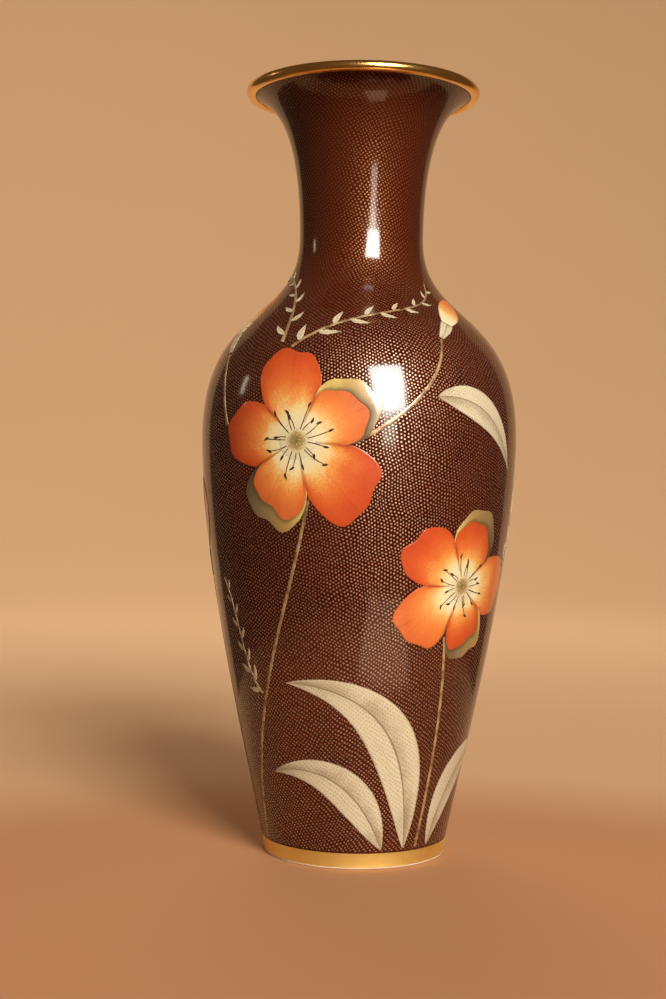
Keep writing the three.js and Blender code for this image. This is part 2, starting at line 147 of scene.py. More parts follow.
@dataclass(frozen=True)
class Outline:
    """The visible outline of the vase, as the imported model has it.

    The curve between two stations bends by its handles, each a share of the height between them.

    Attributes:
        height: The height of the whole vase.
        foot_radius: The foot's radius.
        belly_radius: The belly's radius.
        belly_height: Where the belly is widest.
        neck_radius: The neck's radius.
        neck_height: Where the neck is narrowest.
        lip_radius: The lip's radius.
        bead_radius: Half the thickness of the lip's round bead.
        wall: The thickness of the wall with its glazes.
        floor_height: The height of the floor inside.
        cavity_inset: How much narrower than the foot the cavity's foot is.
        cavity_cove: The radius of the round corner between the cavity's wall and its floor.
        foot_handle: How far the curve goes straight up from the foot.
        belly_low_handle: How far it comes straight up to the belly.
        belly_high_handle: How far it goes straight up from the belly.
        neck_low_handle: How far it comes straight up to the neck.
        neck_high_handle: How far it goes straight up from the neck.
        flare_handle: How far it comes straight to the lip outside.
        throat_handle: How far it leaves the lip straight inside.
        flare_angle: How steep the flare is under the lip.
        crease_angle: Where the flare meets the bead.
        throat_angle: Where the throat meets the bead.
    """

    height: float = round(CAD_HIGH.z, 4)
    foot_radius: float = 38 * MM
    belly_radius: float = 66 * MM
    belly_height: float = 173.5 * MM
    neck_radius: float = 26 * MM
    neck_height: float = 257 * MM
    lip_radius: float = 48.9 * MM
    bead_radius: float = 2.2 * MM
    wall: float = 4.7 * MM
    floor_height: float = 7 * MM
    cavity_inset: float = 2 * MM
    cavity_cove: float = 10 * MM
    foot_handle: float = 0.07
    belly_low_handle: float = 0.347
    belly_high_handle: float = 0.667
    neck_low_handle: float = 0.44
    neck_high_handle: float = 0.323
    flare_handle: float = 0.31
    throat_handle: float = 0.36
    flare_angle: float = math.radians(19.7)
    crease_angle: float = math.radians(224)
    throat_angle: float = math.radians(120)

    def bead_centre(self) -> Flat:
        """The middle of the lip's round bead."""
        return self.lip_radius - self.bead_radius, self.height - self.bead_radius

    def on_bead(self, angle: float) -> Place:
        """A place on the bead at an angle from the horizontal."""
        centre, out = self.bead_centre(), (math.cos(angle), math.sin(angle))
        return Place((centre[0] + out[0] * self.bead_radius, centre[1] + out[1] * self.bead_radius), out)

    def outside(self) -> list[Stretch]:
        """The outline outside the vase.

        Returns:
            Its stretches, from the foot's edge up to the crease under the bead.
        """
        foot, belly = (self.foot_radius, 0.0), (self.belly_radius, self.belly_height)
        neck, crease = (self.neck_radius, self.neck_height), self.on_bead(self.crease_angle).at
        shoulder, flare = self.neck_height - self.belly_height, crease[1] - self.neck_height
        arrive = self.flare_handle * flare
        return [
            Stretch((foot, (foot[0], self.foot_handle * self.belly_height),
                     (belly[0], belly[1] * (1 - self.belly_low_handle)), belly)),
            Stretch((belly, (belly[0], belly[1] + self.belly_high_handle * shoulder),
                     (neck[0], neck[1] - self.neck_low_handle * shoulder), neck)),
            Stretch((neck, (neck[0], neck[1] + self.neck_high_handle * flare),
                     (crease[0] - arrive * math.cos(self.flare_angle),
                      crease[1] - arrive * math.sin(self.flare_angle)), crease)),
        ]

    def inside(self) -> list[Stretch]:
        """The outline of the cavity.

        Returns:
            Its stretches, from inside the bead down to the cove round the floor.
        """
        throat, neck = self.on_bead(self.throat_angle).at, (self.neck_radius - self.wall, self.neck_height)
        belly = (self.belly_radius - self.wall, self.belly_height)
        foot = (self.foot_radius - self.cavity_inset, self.floor_height + self.cavity_cove)
        rise, shoulder = throat[1] - neck[1], self.neck_height - self.belly_height
        depth, leave = belly[1] - foot[1], self.throat_handle * rise
        heading = self.throat_angle + math.pi / 2
        return [
            Stretch((throat, (throat[0] + leave * math.cos(heading), throat[1] + leave * math.sin(heading)),
                     (neck[0], neck[1] + self.neck_high_handle * rise), neck)),
            Stretch((neck, (neck[0], neck[1] - self.neck_low_handle * shoulder),
                     (belly[0], belly[1] + self.belly_high_handle * shoulder), belly)),
            Stretch((belly, (belly[0], belly[1] - self.belly_low_handle * depth),
                     (foot[0], foot[1] + self.foot_handle * depth), foot)),
        ]


def along(stretch: Stretch, steps: int, start: float = 0.0, end: float = 1.0) -> list[Place]:
    """Walks along a stretch.

    Args:
        stretch: The stretch.
        steps: How many steps are made.
        start: The parameter at the first place.
        end: The parameter at the last one.

    Returns:
        The places, both ends included.
    """
    made = []
    for i in range(steps + 1):
        t = mix(start, end, i / steps)
        heading = stretch.heading(t)
        made.append(Place(stretch.at(t), (heading[1], -heading[0])))
    return made


def crossing(stretch: Stretch, height: float) -> float:
    """Finds by halving where a stretch passes a height.

    Args:
        stretch: The stretch.
        height: The height.

    Returns:
        The parameter there.
    """
    low, high = 0.0, 1.0
    rising = stretch.at(1)[1] > stretch.at(0)[1]
    for _ in range(HALVINGS):
        middle = (low + high) / 2
        if (stretch.at(middle)[1] < height) == rising:
            low = middle
        else:
            high = middle
    return low


class Skin:
    """The outside of the vase, read by the share of its length or by its height."""

    STEPS = 400

    def __init__(self, outline: Outline) -> None:
        """Walks the outline once and keeps its places, lengths and areas.

        Args:
            outline: The outline to walk.
        """
        self.places: list[Place] = []
        for stretch in outline.outside():
            places = along(stretch, self.STEPS)
            self.places += places[1:] if self.places else places
        self.lengths, self.areas = [0.0], [0.0]
        for last, place in zip(self.places, self.places[1:]):
            step = math.dist(last.at, place.at)
            self.lengths.append(self.lengths[-1] + step)
            self.areas.append(self.areas[-1] + math.pi * (last.at[0] + place.at[0]) * step)
        self.heights = [place.at[1] for place in self.places]

    def at(self, share: float) -> Place:
        """The place at a share of the outline's length, from the foot up.

        Args:
            share: The share, held between 0 and 1.

        Returns:
            The place, between the two nearest that were walked.
        """
        wanted = min(max(share, 0.0), 1.0) * self.lengths[-1]
        i = min(max(bisect.bisect_left(self.lengths, wanted), 1), len(self.lengths) - 1)
        part = (wanted - self.lengths[i - 1]) / (self.lengths[i] - self.lengths[i - 1])
        low, high = self.places[i - 1], self.places[i]
        return Place(
            (mix(low.at[0], high.at[0], part), mix(low.at[1], high.at[1], part)),
            unit((mix(low.out[0], high.out[0], part), mix(low.out[1], high.out[1], part))),
        )

    def area_below(self, height: float) -> float:
        """The area of the skin below a height.

        Args:
            height: The height.

        Returns:
            The area in square metres.
        """
        i = min(max(bisect.bisect_left(self.heights, height), 1), len(self.heights) - 1)
        part = (height - self.heights[i - 1]) / (self.heights[i] - self.heights[i - 1])
        return mix(self.areas[i - 1], self.areas[i], part)


@dataclass(frozen=True)
class DotLattice:
    """The regular scatter of dots on the ground, as a lattice that closes round the vase.

    Dot k stands k times one share of a turn round the axis, and at the height below which the skin
    has k dots' worth of area. That is a lattice in turns and dot numbers. Two dot numbers give its
    shortest steps, and a place's whole and broken parts in those steps name the dots near it. The
    share of a turn makes the six neighbours of a dot stand equally far off where the belly is wide,
    and keeps the dots well apart where the vase is narrow.

    Attributes:
        skin: The skin that carries the dots.
        pitch: The usual distance between neighbours.
        steps: The two dot numbers.
        bend: How far slow noise moves the dots at most, which bends their rows.
        bend_length: The length over which that noise changes.
        turn: The share of a turn from one dot to the next.
    """

    skin: Skin
    pitch: float = 1.41 * MM
    steps: tuple[int, int] = (123, 199)
    bend: float = 3.6 * MM
    bend_length: float = 12 * MM
    turn: float = 0.276396

    @property
    def cell(self) -> float:
        """The skin's area for each dot."""
        return self.pitch**2 * math.sqrt(3) / 2

    def drift(self, step: int) -> float:
        """How far round, in turns, the lattice has moved after a number of dots."""
        return step * self.turn - round(step * self.turn)

    def number(self, height: float) -> float:
        """How many dots lie below a height."""
        return self.skin.area_below(height) / self.cell

    def coordinates(self, turns: float, height: float) -> Flat:
        """A place in steps of the lattice.

        Args:
            turns: The azimuth in turns.
            height: The height in metres.

        Returns:
            The two coordinates, whole numbers at each dot.
        """
        first, second = self.steps
        drift_1, drift_2 = self.drift(first), self.drift(second)
        whole = drift_1 * second - drift_2 * first
        number = self.number(height)
        return (turns * second - number * drift_2) / whole, (number * drift_1 - turns * first) / whole


OUTLINE = Outline()
SKIN = Skin(OUTLINE)
DOTS = DotLattice(SKIN)


# Shader trees written as expressions

MIX_FIRST, MIX_SECOND, MIX_RESULT = 6, 7, 2
LATTICE_MAP = "Lattice"
FLAT_MAP = "UVMap"


class Shade:
    """A socket of a shader tree that arithmetic can be written on."""

    def __init__(self, sheet: "Sheet", socket: bpy.types.NodeSocket) -> None:
        """Wraps an output socket.

        Args:
            sheet: The shader tree's sheet.
            socket: The output socket.
        """
        self.sheet, self.socket = sheet, socket

    def math(self, operation: str, *others: Value) -> "Shade":
        """A Math node on this socket and others."""
        return self.sheet.make("ShaderNodeMath", {"operation": operation}, dict(enumerate((self, *others))))

    def __add__(self, other: Value) -> "Shade":
        """Adds."""
        return self.math("ADD", other)

    def __sub__(self, other: Value) -> "Shade":
        """Takes away."""
        return self.math("SUBTRACT", other)

    def __rsub__(self, other: float) -> "Shade":
        """Takes this away from a number."""
        return self.sheet.make("ShaderNodeMath", {"operation": "SUBTRACT"}, {0: other, 1: self})

    def __mul__(self, other: Value) -> "Shade":
        """Multiplies."""
        return self.math("MULTIPLY", other)

    def __truediv__(self, other: Value) -> "Shade":
        """Divides."""
        return self.math("DIVIDE", other)

    def __rtruediv__(self, other: float) -> "Shade":
        """Divides a number by this."""
        return self.sheet.make("ShaderNodeMath", {"operation": "DIVIDE"}, {0: other, 1: self})

    __radd__ = __add__
    __rmul__ = __mul__

    def above(self, low: float, high: float) -> "Shade":
        """0 where this is under low and 1 where it is over high, smooth between."""
        inputs = {"Value": self, "From Min": low, "From Max": high}
        return self.sheet.make("ShaderNodeMapRange", {"interpolation_type": "SMOOTHSTEP"}, inputs)

    def below(self, low: float, high: float) -> "Shade":
        """1 where this is under low and 0 where it is over high, smooth between."""
        return 1 - self.above(low, high)


class Sheet:
    """The node tree of one material."""

    def __init__(self, name: str) -> None:
        """Makes an empty material.

        Args:
            name: The material's name.
        """
        self.material = bpy.data.materials.new(name)
        self.material.use_nodes = True
        self.tree = self.material.node_tree
        self.tree.nodes.clear()

    def node(self, kind: str, settings: Mapping[str, object],
             inputs: Mapping[str | int, Value]) -> bpy.types.Node:
        """Adds a node.

        Args:
            kind: The node's type.
            settings: Its own settings, set before its sockets. The stops of a ramp are pairs of a
                place and a colour.
            inputs: A number, colour or link for each socket, by name or by place.

        Returns:
            The node.
        """
        made = self.tree.nodes.new(kind)
        for name, value in settings.items():
            if name == "stops":
                self.fill_ramp(made.color_ramp, value)
            else:
                setattr(made, name, value)
        for key, value in inputs.items():
            if isinstance(value, Shade):
                self.tree.links.new(value.socket, made.inputs[key])
            else:
                made.inputs[key].default_value = value
        return made

    def make(self, kind: str, settings: Mapping[str, object], inputs: Mapping[str | int, Value],
             output: str | int = 0) -> Shade:
        """Adds a node and wraps one of its outputs."""
        return Shade(self, self.node(kind, settings, inputs).outputs[output])

    @staticmethod
    def fill_ramp(ramp: bpy.types.ColorRamp, stops: Sequence[tuple[float, Colour]]) -> None:
        """Sets the stops of a colour ramp.

        Args:
            ramp: The ramp.
            stops: A place and a colour for each stop.
        """
        while len(ramp.elements) < len(stops):
            ramp.elements.new(1.0)
        for element, (place, colour) in zip(ramp.elements, stops):
            element.position = place
            element.color = (*colour, 1.0)

    def ramp(self, value: Shade, *stops: tuple[float, Colour]) -> Shade:
        """A colour read off a ramp."""
        return self.make("ShaderNodeValToRGB", {"stops": stops}, {0: value})

    def blend(self, share: Value, low: Value, high: Value) -> Shade:
        """Mixes two colours.

        Args:
            share: How much of the second one there is.
            low: The first colour, plain or linked.
            high: The second one.

        Returns:
            The mixed colour.
        """
        node = self.node("ShaderNodeMix", {"data_type": "RGBA", "clamp_factor": True}, {"Factor": share})
        for socket, value in ((node.inputs[MIX_FIRST], low), (node.inputs[MIX_SECOND], high)):
            if isinstance(value, Shade):
                self.tree.links.new(value.socket, socket)
            else:
                socket.default_value = (*value, 1.0)
        return Shade(self, node.outputs[MIX_RESULT])

    def pull(self, vector: Shade) -> tuple[Shade, Shade, Shade]:
        """The three parts of a vector."""
        node = self.node("ShaderNodeSeparateXYZ", {}, {0: vector})
        return tuple(Shade(self, node.outputs[k]) for k in range(3))

    def push(self, x: Value, y: Value, z: Value = 0.0) -> Shade:
        """A vector of three parts."""
        return self.make("ShaderNodeCombineXYZ", {}, {0: x, 1: y, 2: z})

    def place(self) -> Shade:
        """Object coordinates."""
        return self.make("ShaderNodeTexCoord", {}, {}, "Object")

    def uv(self, name: str) -> tuple[Shade, Shade]:
        """The two parts of a UV map."""
        return self.pull(self.make("ShaderNodeUVMap", {"uv_map": name}, {}))[:2]

    def finish(self, **inputs: Value) -> bpy.types.Material:
        """Adds the shader and the output.

        Args:
            inputs: The shader's sockets, with _ for each space in a name.

        Returns:
            The material.
        """
        sockets = {name.replace("_", " "): value for name, value in inputs.items()}
        for name, value in sockets.items():
            if isinstance(value, tuple) and len(value) == 3:
                sockets[name] = (*value, 1.0)
        shader = self.make("ShaderNodeBsdfPrincipled", {}, sockets)
        self.node("ShaderNodeOutputMaterial", {}, {"Surface": shader})
        return self.material


@dataclass(frozen=True)
class Noise:
    """Smooth noise of one size.

    Attributes:
        scale: How fine it is.
        detail: How many finer layers lie on it.
        roughness: How strong those are.
    """

    scale: float
    detail: float = 2.0
    roughness: float = 0.5

    def over(self, vector: Shade, output: str | int = 0) -> Shade:
        """The noise over a vector, between 0 and 1."""
        inputs = {"Vector": vector, "Scale": self.scale, "Detail": self.detail, "Roughness": self.roughness}
        return vector.sheet.make("ShaderNodeTexNoise", {}, inputs, output)


@dataclass(frozen=True)
class Relief:
    """How a height between 0 and 1 shows.

    Attributes:
        depth: How high 1 is.
        strength: How strongly it turns the light.
    """

    depth: float
    strength: float

    def over(self, height: Shade) -> Shade:
        """The normal of a height."""
        inputs = {"Height": height, "Distance": self.depth, "Strength": self.strength}
        return height.sheet.make("ShaderNodeBump", {}, inputs, "Normal")


def away(x: Shade, y: Shade) -> Shade:
    """How far a flat place is from the origin."""
    return (x * x + y * y).math("SQRT")


DOT_LEAST = 0.92
DOT_RANGE = 0.16
DOT_EDGE = 0.09


def dot_pattern(sheet: Sheet, radius: float, spread: float) -> tuple[Shade, Shade]:
    """Draws the lattice of dots, in millimetres.

    Args:
        sheet: The material's sheet.
        radius: The usual radius of a dot.
        spread: How far a dot may stand from its lattice place.

    Returns:
        The dots' mask, and a random number that is the same all over each dot.
    """
    first, second = DOTS.steps
    drifts = DOTS.drift(first), DOTS.drift(second)
    p, q = sheet.uv(LATTICE_MAP)
    place = sheet.place()
    x, y, _ = sheet.pull(place)
    girth = away(x, y) * (math.tau / MM)
    rise = (DOTS.cell / MM**2) / girth
    bend_x, bend_y, _ = sheet.pull(Noise(1 / DOTS.bend_length, 1.0).over(place, "Color"))
    turned = (bend_x - 0.5) * (DOTS.bend / MM) / girth
    risen = (bend_y - 0.5) * (DOTS.bend / MM) / rise
    whole = drifts[0] * second - drifts[1] * first
    p = p + (turned * second - risen * drifts[1]) / whole
    q = q + (risen * drifts[0] - turned * first) / whole
    p_low, q_low = p.math("FLOOR"), q.math("FLOOR")
    mask, chance = None, None
    for corner in ((0, 0), (1, 0), (0, 1), (1, 1)):
        i, j = p_low + corner[0], q_low + corner[1]
        number = i * first + j * second
        luck = sheet.make("ShaderNodeTexWhiteNoise", {"noise_dimensions": "1D"}, {"W": number + 0.5}, "Color")
        luck_x, luck_y, luck_size = sheet.pull(luck)
        dp, dq = p - i, q - j
        across = (dp * drifts[0] + dq * drifts[1]) * girth + (luck_x - 0.5) * (2 * spread / MM)
        up = (dp * first + dq * second) * rise + (luck_y - 0.5) * (2 * spread / MM)
        gap = away(across, up) - (luck_size * DOT_RANGE + DOT_LEAST) * (radius / MM)
        dot = gap.below(-DOT_EDGE, DOT_EDGE)
        mask = dot if mask is None else mask.math("MAXIMUM", dot)
        chance = dot * luck_size if chance is None else chance.math("MAXIMUM", dot * luck_size)
    return mask, chance


# Finishes

STIPPLE = Noise(1300.0, 2.0, 0.6)
ENAMEL_COAT = {"Coat_Weight": 0.8, "Coat_Roughness": 0.1}


@dataclass(frozen=True)
class GroundGlaze:
    """The dark brown glaze with its tan dots.

    Attributes:
        brown: The ground.
        brown_light: The ground where it is thinner.
        brown_high: The ground on the neck, a lighter, redder copy as painted light.
        tan: The brightest dots.
        tan_dim: The dimmest dots.
        tan_high: The dots on the neck, a darker copy as painted shade.
        dot_radius: The usual radius of a dot.
        dot_spread: How far a dot may stand from its lattice place.
        dot_cover: How well a dot hides the ground.
        clear_line: How wide the plain line beside each gilt band is.
        clear_hard: The share of that line with no trace of a dot.
        fade_from: The height from which the neck's colours come in.
        fade_to: The height at which they are full.
        cloud: Where the ground is thinner.
        ripple: The unevenness of the glaze.
        ripple_share: How high that is beside a dot.
        roughness: The ground's roughness under its gloss.
        dot_polish: How much smoother a dot is.
        gloss_roughness: The roughness of the gloss.
        relief: How the dots stand up.
    """

    brown: Colour = (0.034, 0.0030, 0.0004)
    brown_light: Colour = (0.052, 0.0066, 0.0012)
    brown_high: Colour = (0.056, 0.0074, 0.0012)
    tan: Colour = (0.58, 0.39, 0.275)
    tan_dim: Colour = (0.45, 0.29, 0.195)
    tan_high: Colour = (0.23, 0.113, 0.053)
    dot_radius: float = 0.31 * MM
    dot_spread: float = 0.13 * MM
    dot_cover: float = 0.94
    clear_line: float = 0.9 * MM
    clear_hard: float = 0.8
    fade_from: float = 205 * MM
    fade_to: float = 250 * MM
    cloud: Noise = Noise(26.0, 3.0, 0.6)
    ripple: Noise = Noise(900.0)
    ripple_share: float = 0.35
    roughness: float = 0.6
    dot_polish: float = 0.13
    gloss_roughness: float = 0.11
    relief: Relief = Relief(0.03 * MM, 0.7)

    def material(self) -> bpy.types.Material:
        """The glaze as a material.

        Returns:
            The material.
        """
        sheet = Sheet("brown_ground_glaze")
        place = sheet.place()
        mask, chance = dot_pattern(sheet, self.dot_radius, self.dot_spread)
        mask = mask * self.clear_of_bands(sheet)
        _, _, height = sheet.pull(place)
        # On the neck the colours switch to copies set for how light falls there: painted light on the ground,
        # painted shade on the dots.
        high = height.above(self.fade_from, self.fade_to)
        ground = sheet.blend(self.cloud.over(place).above(0.3, 0.72), self.brown, self.brown_light)
        ground = sheet.blend(high, ground, self.brown_high)
        dots = sheet.blend(chance.above(0.1, 0.9), self.tan_dim, self.tan)
        dots = sheet.blend(high, dots, self.tan_high)
        return sheet.finish(
            Base_Color=sheet.blend(mask * self.dot_cover, ground, dots),
            Metallic=mask.above(0.0, 0.45),
            Roughness=self.roughness - mask * self.dot_polish,
            Coat_Weight=1.0, Coat_Roughness=self.gloss_roughness, Coat_IOR=1.5, Specular_IOR_Level=0.0,
            Normal=self.relief.over(mask + self.ripple.over(place) * self.ripple_share),
        )

    def clear_of_bands(self, sheet: Sheet) -> Shade:
        """Finds the plain lines beside the gilt bands.

        Args:
            sheet: The material's sheet.

        Returns:
            0 on those lines and 1 elsewhere.
        """
        first, second = DOTS.steps
        p, q = sheet.uv(LATTICE_MAP)
        number = p * first + q * second
        low, high = DOTS.number(FOOT_BAND_TOP), DOTS.number(SKIN.heights[-1])
        line_low, line_high = (math.tau * radius * self.clear_line / DOTS.cell
                               for radius in (OUTLINE.foot_radius, OUTLINE.lip_radius))
        over_foot = number.above(low + line_low * self.clear_hard, low + line_low)
        return over_foot * number.below(high - line_high, high - line_high * self.clear_hard)


@dataclass(frozen=True)
class Gilding:
    """Burnished gold lustre, rubbed more matt at the foot, and darker on the lip as painted shade.

    Attributes:
        bright: The lip's gold, a darker copy as painted shade.
        worn: The lip's gold where it is worn, also darker as painted shade.
        bright_foot: The foot's gold.
        worn_foot: The foot's gold where it is worn.
        matt_below: The height below which it is matt.
        cloud: Where it is worn.
        strokes: The marks of burnishing.
        stroke_across: How fine those are round the vase.
        stroke_up: How fine they are upwards.
        stroke_share: How deep they are beside the wear.
        roughness: The roughness of the brightest gold.
        worn_roughness: What wear adds.
        foot_roughness: What the foot adds.
        relief: How wear and strokes show.
    """

    bright: Colour = (0.95, 0.58, 0.165)
    worn: Colour = (0.86, 0.46, 0.12)
    bright_foot: Colour = (0.90, 0.68, 0.22)
    worn_foot: Colour = (0.84, 0.57, 0.165)
    matt_below: float = 60 * MM
    cloud: Noise = Noise(60.0, 4.0, 0.6)
    strokes: Noise = Noise(900.0)
    stroke_across: float = 0.2
    stroke_up: float = 6.0
    stroke_share: float = 0.25
    roughness: float = 0.15
    worn_roughness: float = 0.12
    foot_roughness: float = 0.32
    relief: Relief = Relief(0.02 * MM, 0.5)

    def material(self) -> bpy.types.Material:
        """The gilding as a material.

        Returns:
            The material.
        """
        sheet = Sheet("burnished_gilding")
        place = sheet.place()
        cloud = self.cloud.over(place)
        x, y, z = sheet.pull(place)
        brushed = sheet.push(x * self.stroke_across, y * self.stroke_across, z * self.stroke_up)
        low, wear = z.below(0.0, self.matt_below), cloud.above(0.35, 0.75)
        # The lip's gold is a darker, more orange copy of the foot's: painted shade.
        lip = sheet.blend(wear, self.bright, self.worn)
        foot = sheet.blend(wear, self.bright_foot, self.worn_foot)
        return sheet.finish(
            Base_Color=sheet.blend(low, lip, foot),
            Metallic=1.0,
            Roughness=self.roughness + cloud * self.worn_roughness + low * self.foot_roughness,
            Normal=self.relief.over(cloud + self.strokes.over(brushed) * self.stroke_share),
        )


@dataclass(frozen=True)
class WhiteGlaze:
    """Clear glaze over white porcelain, as in the cavity.

    Attributes:
        white: The porcelain under the glaze.
        grey: The porcelain where the glaze is thicker.
        cloud: Where it is thicker.
        ripple: Its unevenness.
        roughness: The least roughness under the gloss.
        cloud_roughness: What a thicker glaze adds.
        gloss_roughness: The roughness of the gloss.
        relief: How the unevenness shows.
    """

    white: Colour = (0.80, 0.765, 0.70)
    grey: Colour = (0.72, 0.69, 0.63)
    cloud: Noise = Noise(18.0, 3.0)
    ripple: Noise = Noise(160.0)
    roughness: float = 0.3
    cloud_roughness: float = 0.1
    gloss_roughness: float = 0.05
    relief: Relief = Relief(0.05 * MM, 0.4)

    def material(self) -> bpy.types.Material:
        """The glaze as a material.

        Returns:
            The material.
        """
        sheet = Sheet("clear_glaze_on_porcelain")
        place = sheet.place()
        cloud = self.cloud.over(place)
        return sheet.finish(
            Base_Color=sheet.blend(cloud.above(0.3, 0.7), self.white, self.grey),
            Roughness=self.roughness + cloud * self.cloud_roughness,
            Coat_Weight=1.0, Coat_Roughness=self.gloss_roughness,
            Normal=self.relief.over(self.ripple.over(place)),
        )


@dataclass(frozen=True)
class Bisque:
    """Bare fired porcelain, as on the foot ring.

    Attributes:
        white: The clean porcelain.
        stained: The stains of use.
        stain: Where they are.
        stain_share: How strong they are.
        grain: The fine grain.
        roughness: The least roughness.
        grain_roughness: What the grain adds.
        relief: How the grain shows.
    """

    white: Colour = (0.66, 0.55, 0.40)
    stained: Colour = (0.45, 0.34, 0.22)
    stain: Noise = Noise(70.0, 4.0, 0.65)
    stain_share: float = 0.6
    grain: Noise = Noise(1400.0, 3.0, 0.7)
    roughness: float = 0.62
    grain_roughness: float = 0.15
    relief: Relief = Relief(0.04 * MM, 0.8)

    def material(self) -> bpy.types.Material:
        """The bare porcelain as a material.

        Returns:
            The material.
        """
        sheet = Sheet("bare_porcelain")
        place = sheet.place()
        grain, stain = self.grain.over(place), self.stain.over(place)
        return sheet.finish(
            Base_Color=sheet.blend(stain.above(0.5, 0.8) * self.stain_share, self.white, self.stained),
            Roughness=self.roughness + grain * self.grain_roughness,
            Normal=self.relief.over(grain),
        )


@dataclass(frozen=True)
class PetalEnamel:
    """Orange enamel laid in fine stipple, from a cream throat to a deep edge.

    Attributes:
        name: The material's name.
        stops: The colours from the throat to the edge.
        stipple: How far the stipple scatters the colours.
        wander: Where the colours reach further out.
        wander_share: How much further.
        side_fall: How much sooner they come at the petal's sides.
        vein: The colour of the faint veins.
        vein_share: How strong the veins are.
        streaks: The streaks that the veins follow.
        streak_across: How fine those are across the petal.
        streak_up: How fine they are along it.
        edge: The colour where one petal goes under the next.
        edge_share: How strong that is.
        roughness: The roughness under the gloss.
        vein_polish: How much smoother a vein is.
        relief: How streaks and stipple show.
    """

    name: str
    stops: tuple[tuple[float, Colour], ...]
    stipple: float = 0.30
    wander: Noise = Noise(120.0, 3.0, 0.6)
    wander_share: float = 0.30
    side_fall: float = 0.35
    vein: Colour = (0.34, 0.032, 0.006)
    vein_share: float = 0.35
    streaks: Noise = Noise(2.0, 5.0, 0.62)
    streak_across: float = 11.0
    streak_up: float = 0.8
    edge: Colour = (0.20, 0.014, 0.003)
    edge_share: float = 0.6
    roughness: float = 0.42
    vein_polish: float = 0.1
    relief: Relief = Relief(0.05 * MM, 0.5)

    def material(self) -> bpy.types.Material:
        """The enamel as a material.

        Returns:
            The material.
        """
        sheet = Sheet(self.name)
        place = sheet.place()
        across, upward = sheet.uv(FLAT_MAP)
        side = (across - 0.5).math("ABSOLUTE")
        grain = STIPPLE.over(place)
        scatter = (self.wander.over(place) - 0.5) * self.wander_share + (grain - 0.5) * self.stipple
        colour = sheet.ramp(upward - side * side * self.side_fall + scatter, *self.stops)
        streaks = self.streaks.over(sheet.push(across * self.streak_across, upward * self.streak_up))
        veins = streaks.above(0.52, 0.74) * upward.above(0.1, 0.45) * self.vein_share
        colour = sheet.blend(veins, colour, self.vein)
        under = side.above(0.43, 0.5) * upward.below(0.7, 0.95)
        colour = sheet.blend(under * self.edge_share, colour, self.edge)
        return sheet.finish(
            Base_Color=colour, Roughness=self.roughness - veins * self.vein_polish,
            **ENAMEL_COAT, Specular_IOR_Level=0.2, Normal=self.relief.over(streaks * 0.6 + grain * 0.3),
        )


@dataclass(frozen=True)
class CreamEnamel:
    """Cream enamel of leaves and cups, with veins and the dots faintly through it.

    Attributes:
        name: The material's name.
        pale: The brightest cream.
        deep: The cream in its shades.
        vein: The colour of veins and border.
        line_share: How strong the middle vein and the border are.
        border_share: How strong the border is beside the middle vein.
        hatching: The fine veins.
        hatch_across: How fine those are across the leaf.
        hatch_up: How fine they are along it.
        hatch_share: How strong they are.
        dots: The colour of the dots that show through.
        dots_share: How strong those are.
        dot_radius: Their radius.
        dot_spread: How far one may stand from its lattice place.
        cloud: Where the cream is deeper.
        roughness: The roughness under the gloss.
        cloud_polish: How much smoother a deeper cream is.
        relief: How clouds and lines show.
    """

    name: str
    pale: Colour = (0.51, 0.43, 0.285)
    deep: Colour = (0.26, 0.19, 0.105)
    vein: Colour = (0.10, 0.058, 0.026)
    line_share: float = 0.7
    border_share: float = 0.6
    hatching: Noise = Noise(1.6, 4.0, 0.6)
    hatch_across: float = 15.0
    hatch_up: float = 1.1
    hatch_share: float = 0.22
    dots: Colour = (0.12, 0.075, 0.04)
    dots_share: float = 0.42
    dot_radius: float = 0.33 * MM
    dot_spread: float = 0.15 * MM
    cloud: Noise = Noise(90.0, 4.0, 0.65)
    roughness: float = 0.42
    cloud_polish: float = 0.08
    relief: Relief = Relief(0.05 * MM, 0.6)

    def material(self) -> bpy.types.Material:
        """The enamel as a material.

        Returns:
            The material.
        """
        sheet = Sheet(self.name)
        place = sheet.place()
        across, upward = sheet.uv(FLAT_MAP)
        side = (across - 0.5).math("ABSOLUTE")
        cloud, grain = self.cloud.over(place), STIPPLE.over(place)
        fold = (across - 0.5).above(-0.02, 0.02) * side.below(0.0, 0.5)
        ends = (upward - 0.5).math("ABSOLUTE").above(0.22, 0.5)
        shade = fold * 0.45 + ends * 0.4 + (cloud - 0.5) * 0.8 + (grain - 0.5) * 0.5
        colour = sheet.blend(shade.above(0.0, 0.85), self.pale, self.deep)
        mask, _ = dot_pattern(sheet, self.dot_radius, self.dot_spread)
        colour = sheet.blend(mask * self.dots_share, colour, self.dots)
        hatching = self.hatching.over(sheet.push(across * self.hatch_across, upward * self.hatch_up))
        colour = sheet.blend(hatching.above(0.52, 0.70) * self.hatch_share, colour, self.vein)
        middle, border = side.below(0.008, 0.028), side.above(0.455, 0.495)
        lines = middle.math("MAXIMUM", border * self.border_share)
        return sheet.finish(
            Base_Color=sheet.blend(lines * self.line_share, colour, self.vein),
            Roughness=self.roughness - cloud * self.cloud_polish,
            **ENAMEL_COAT, Specular_IOR_Level=0.2, Normal=self.relief.over(cloud * 0.4 - lines),
        )


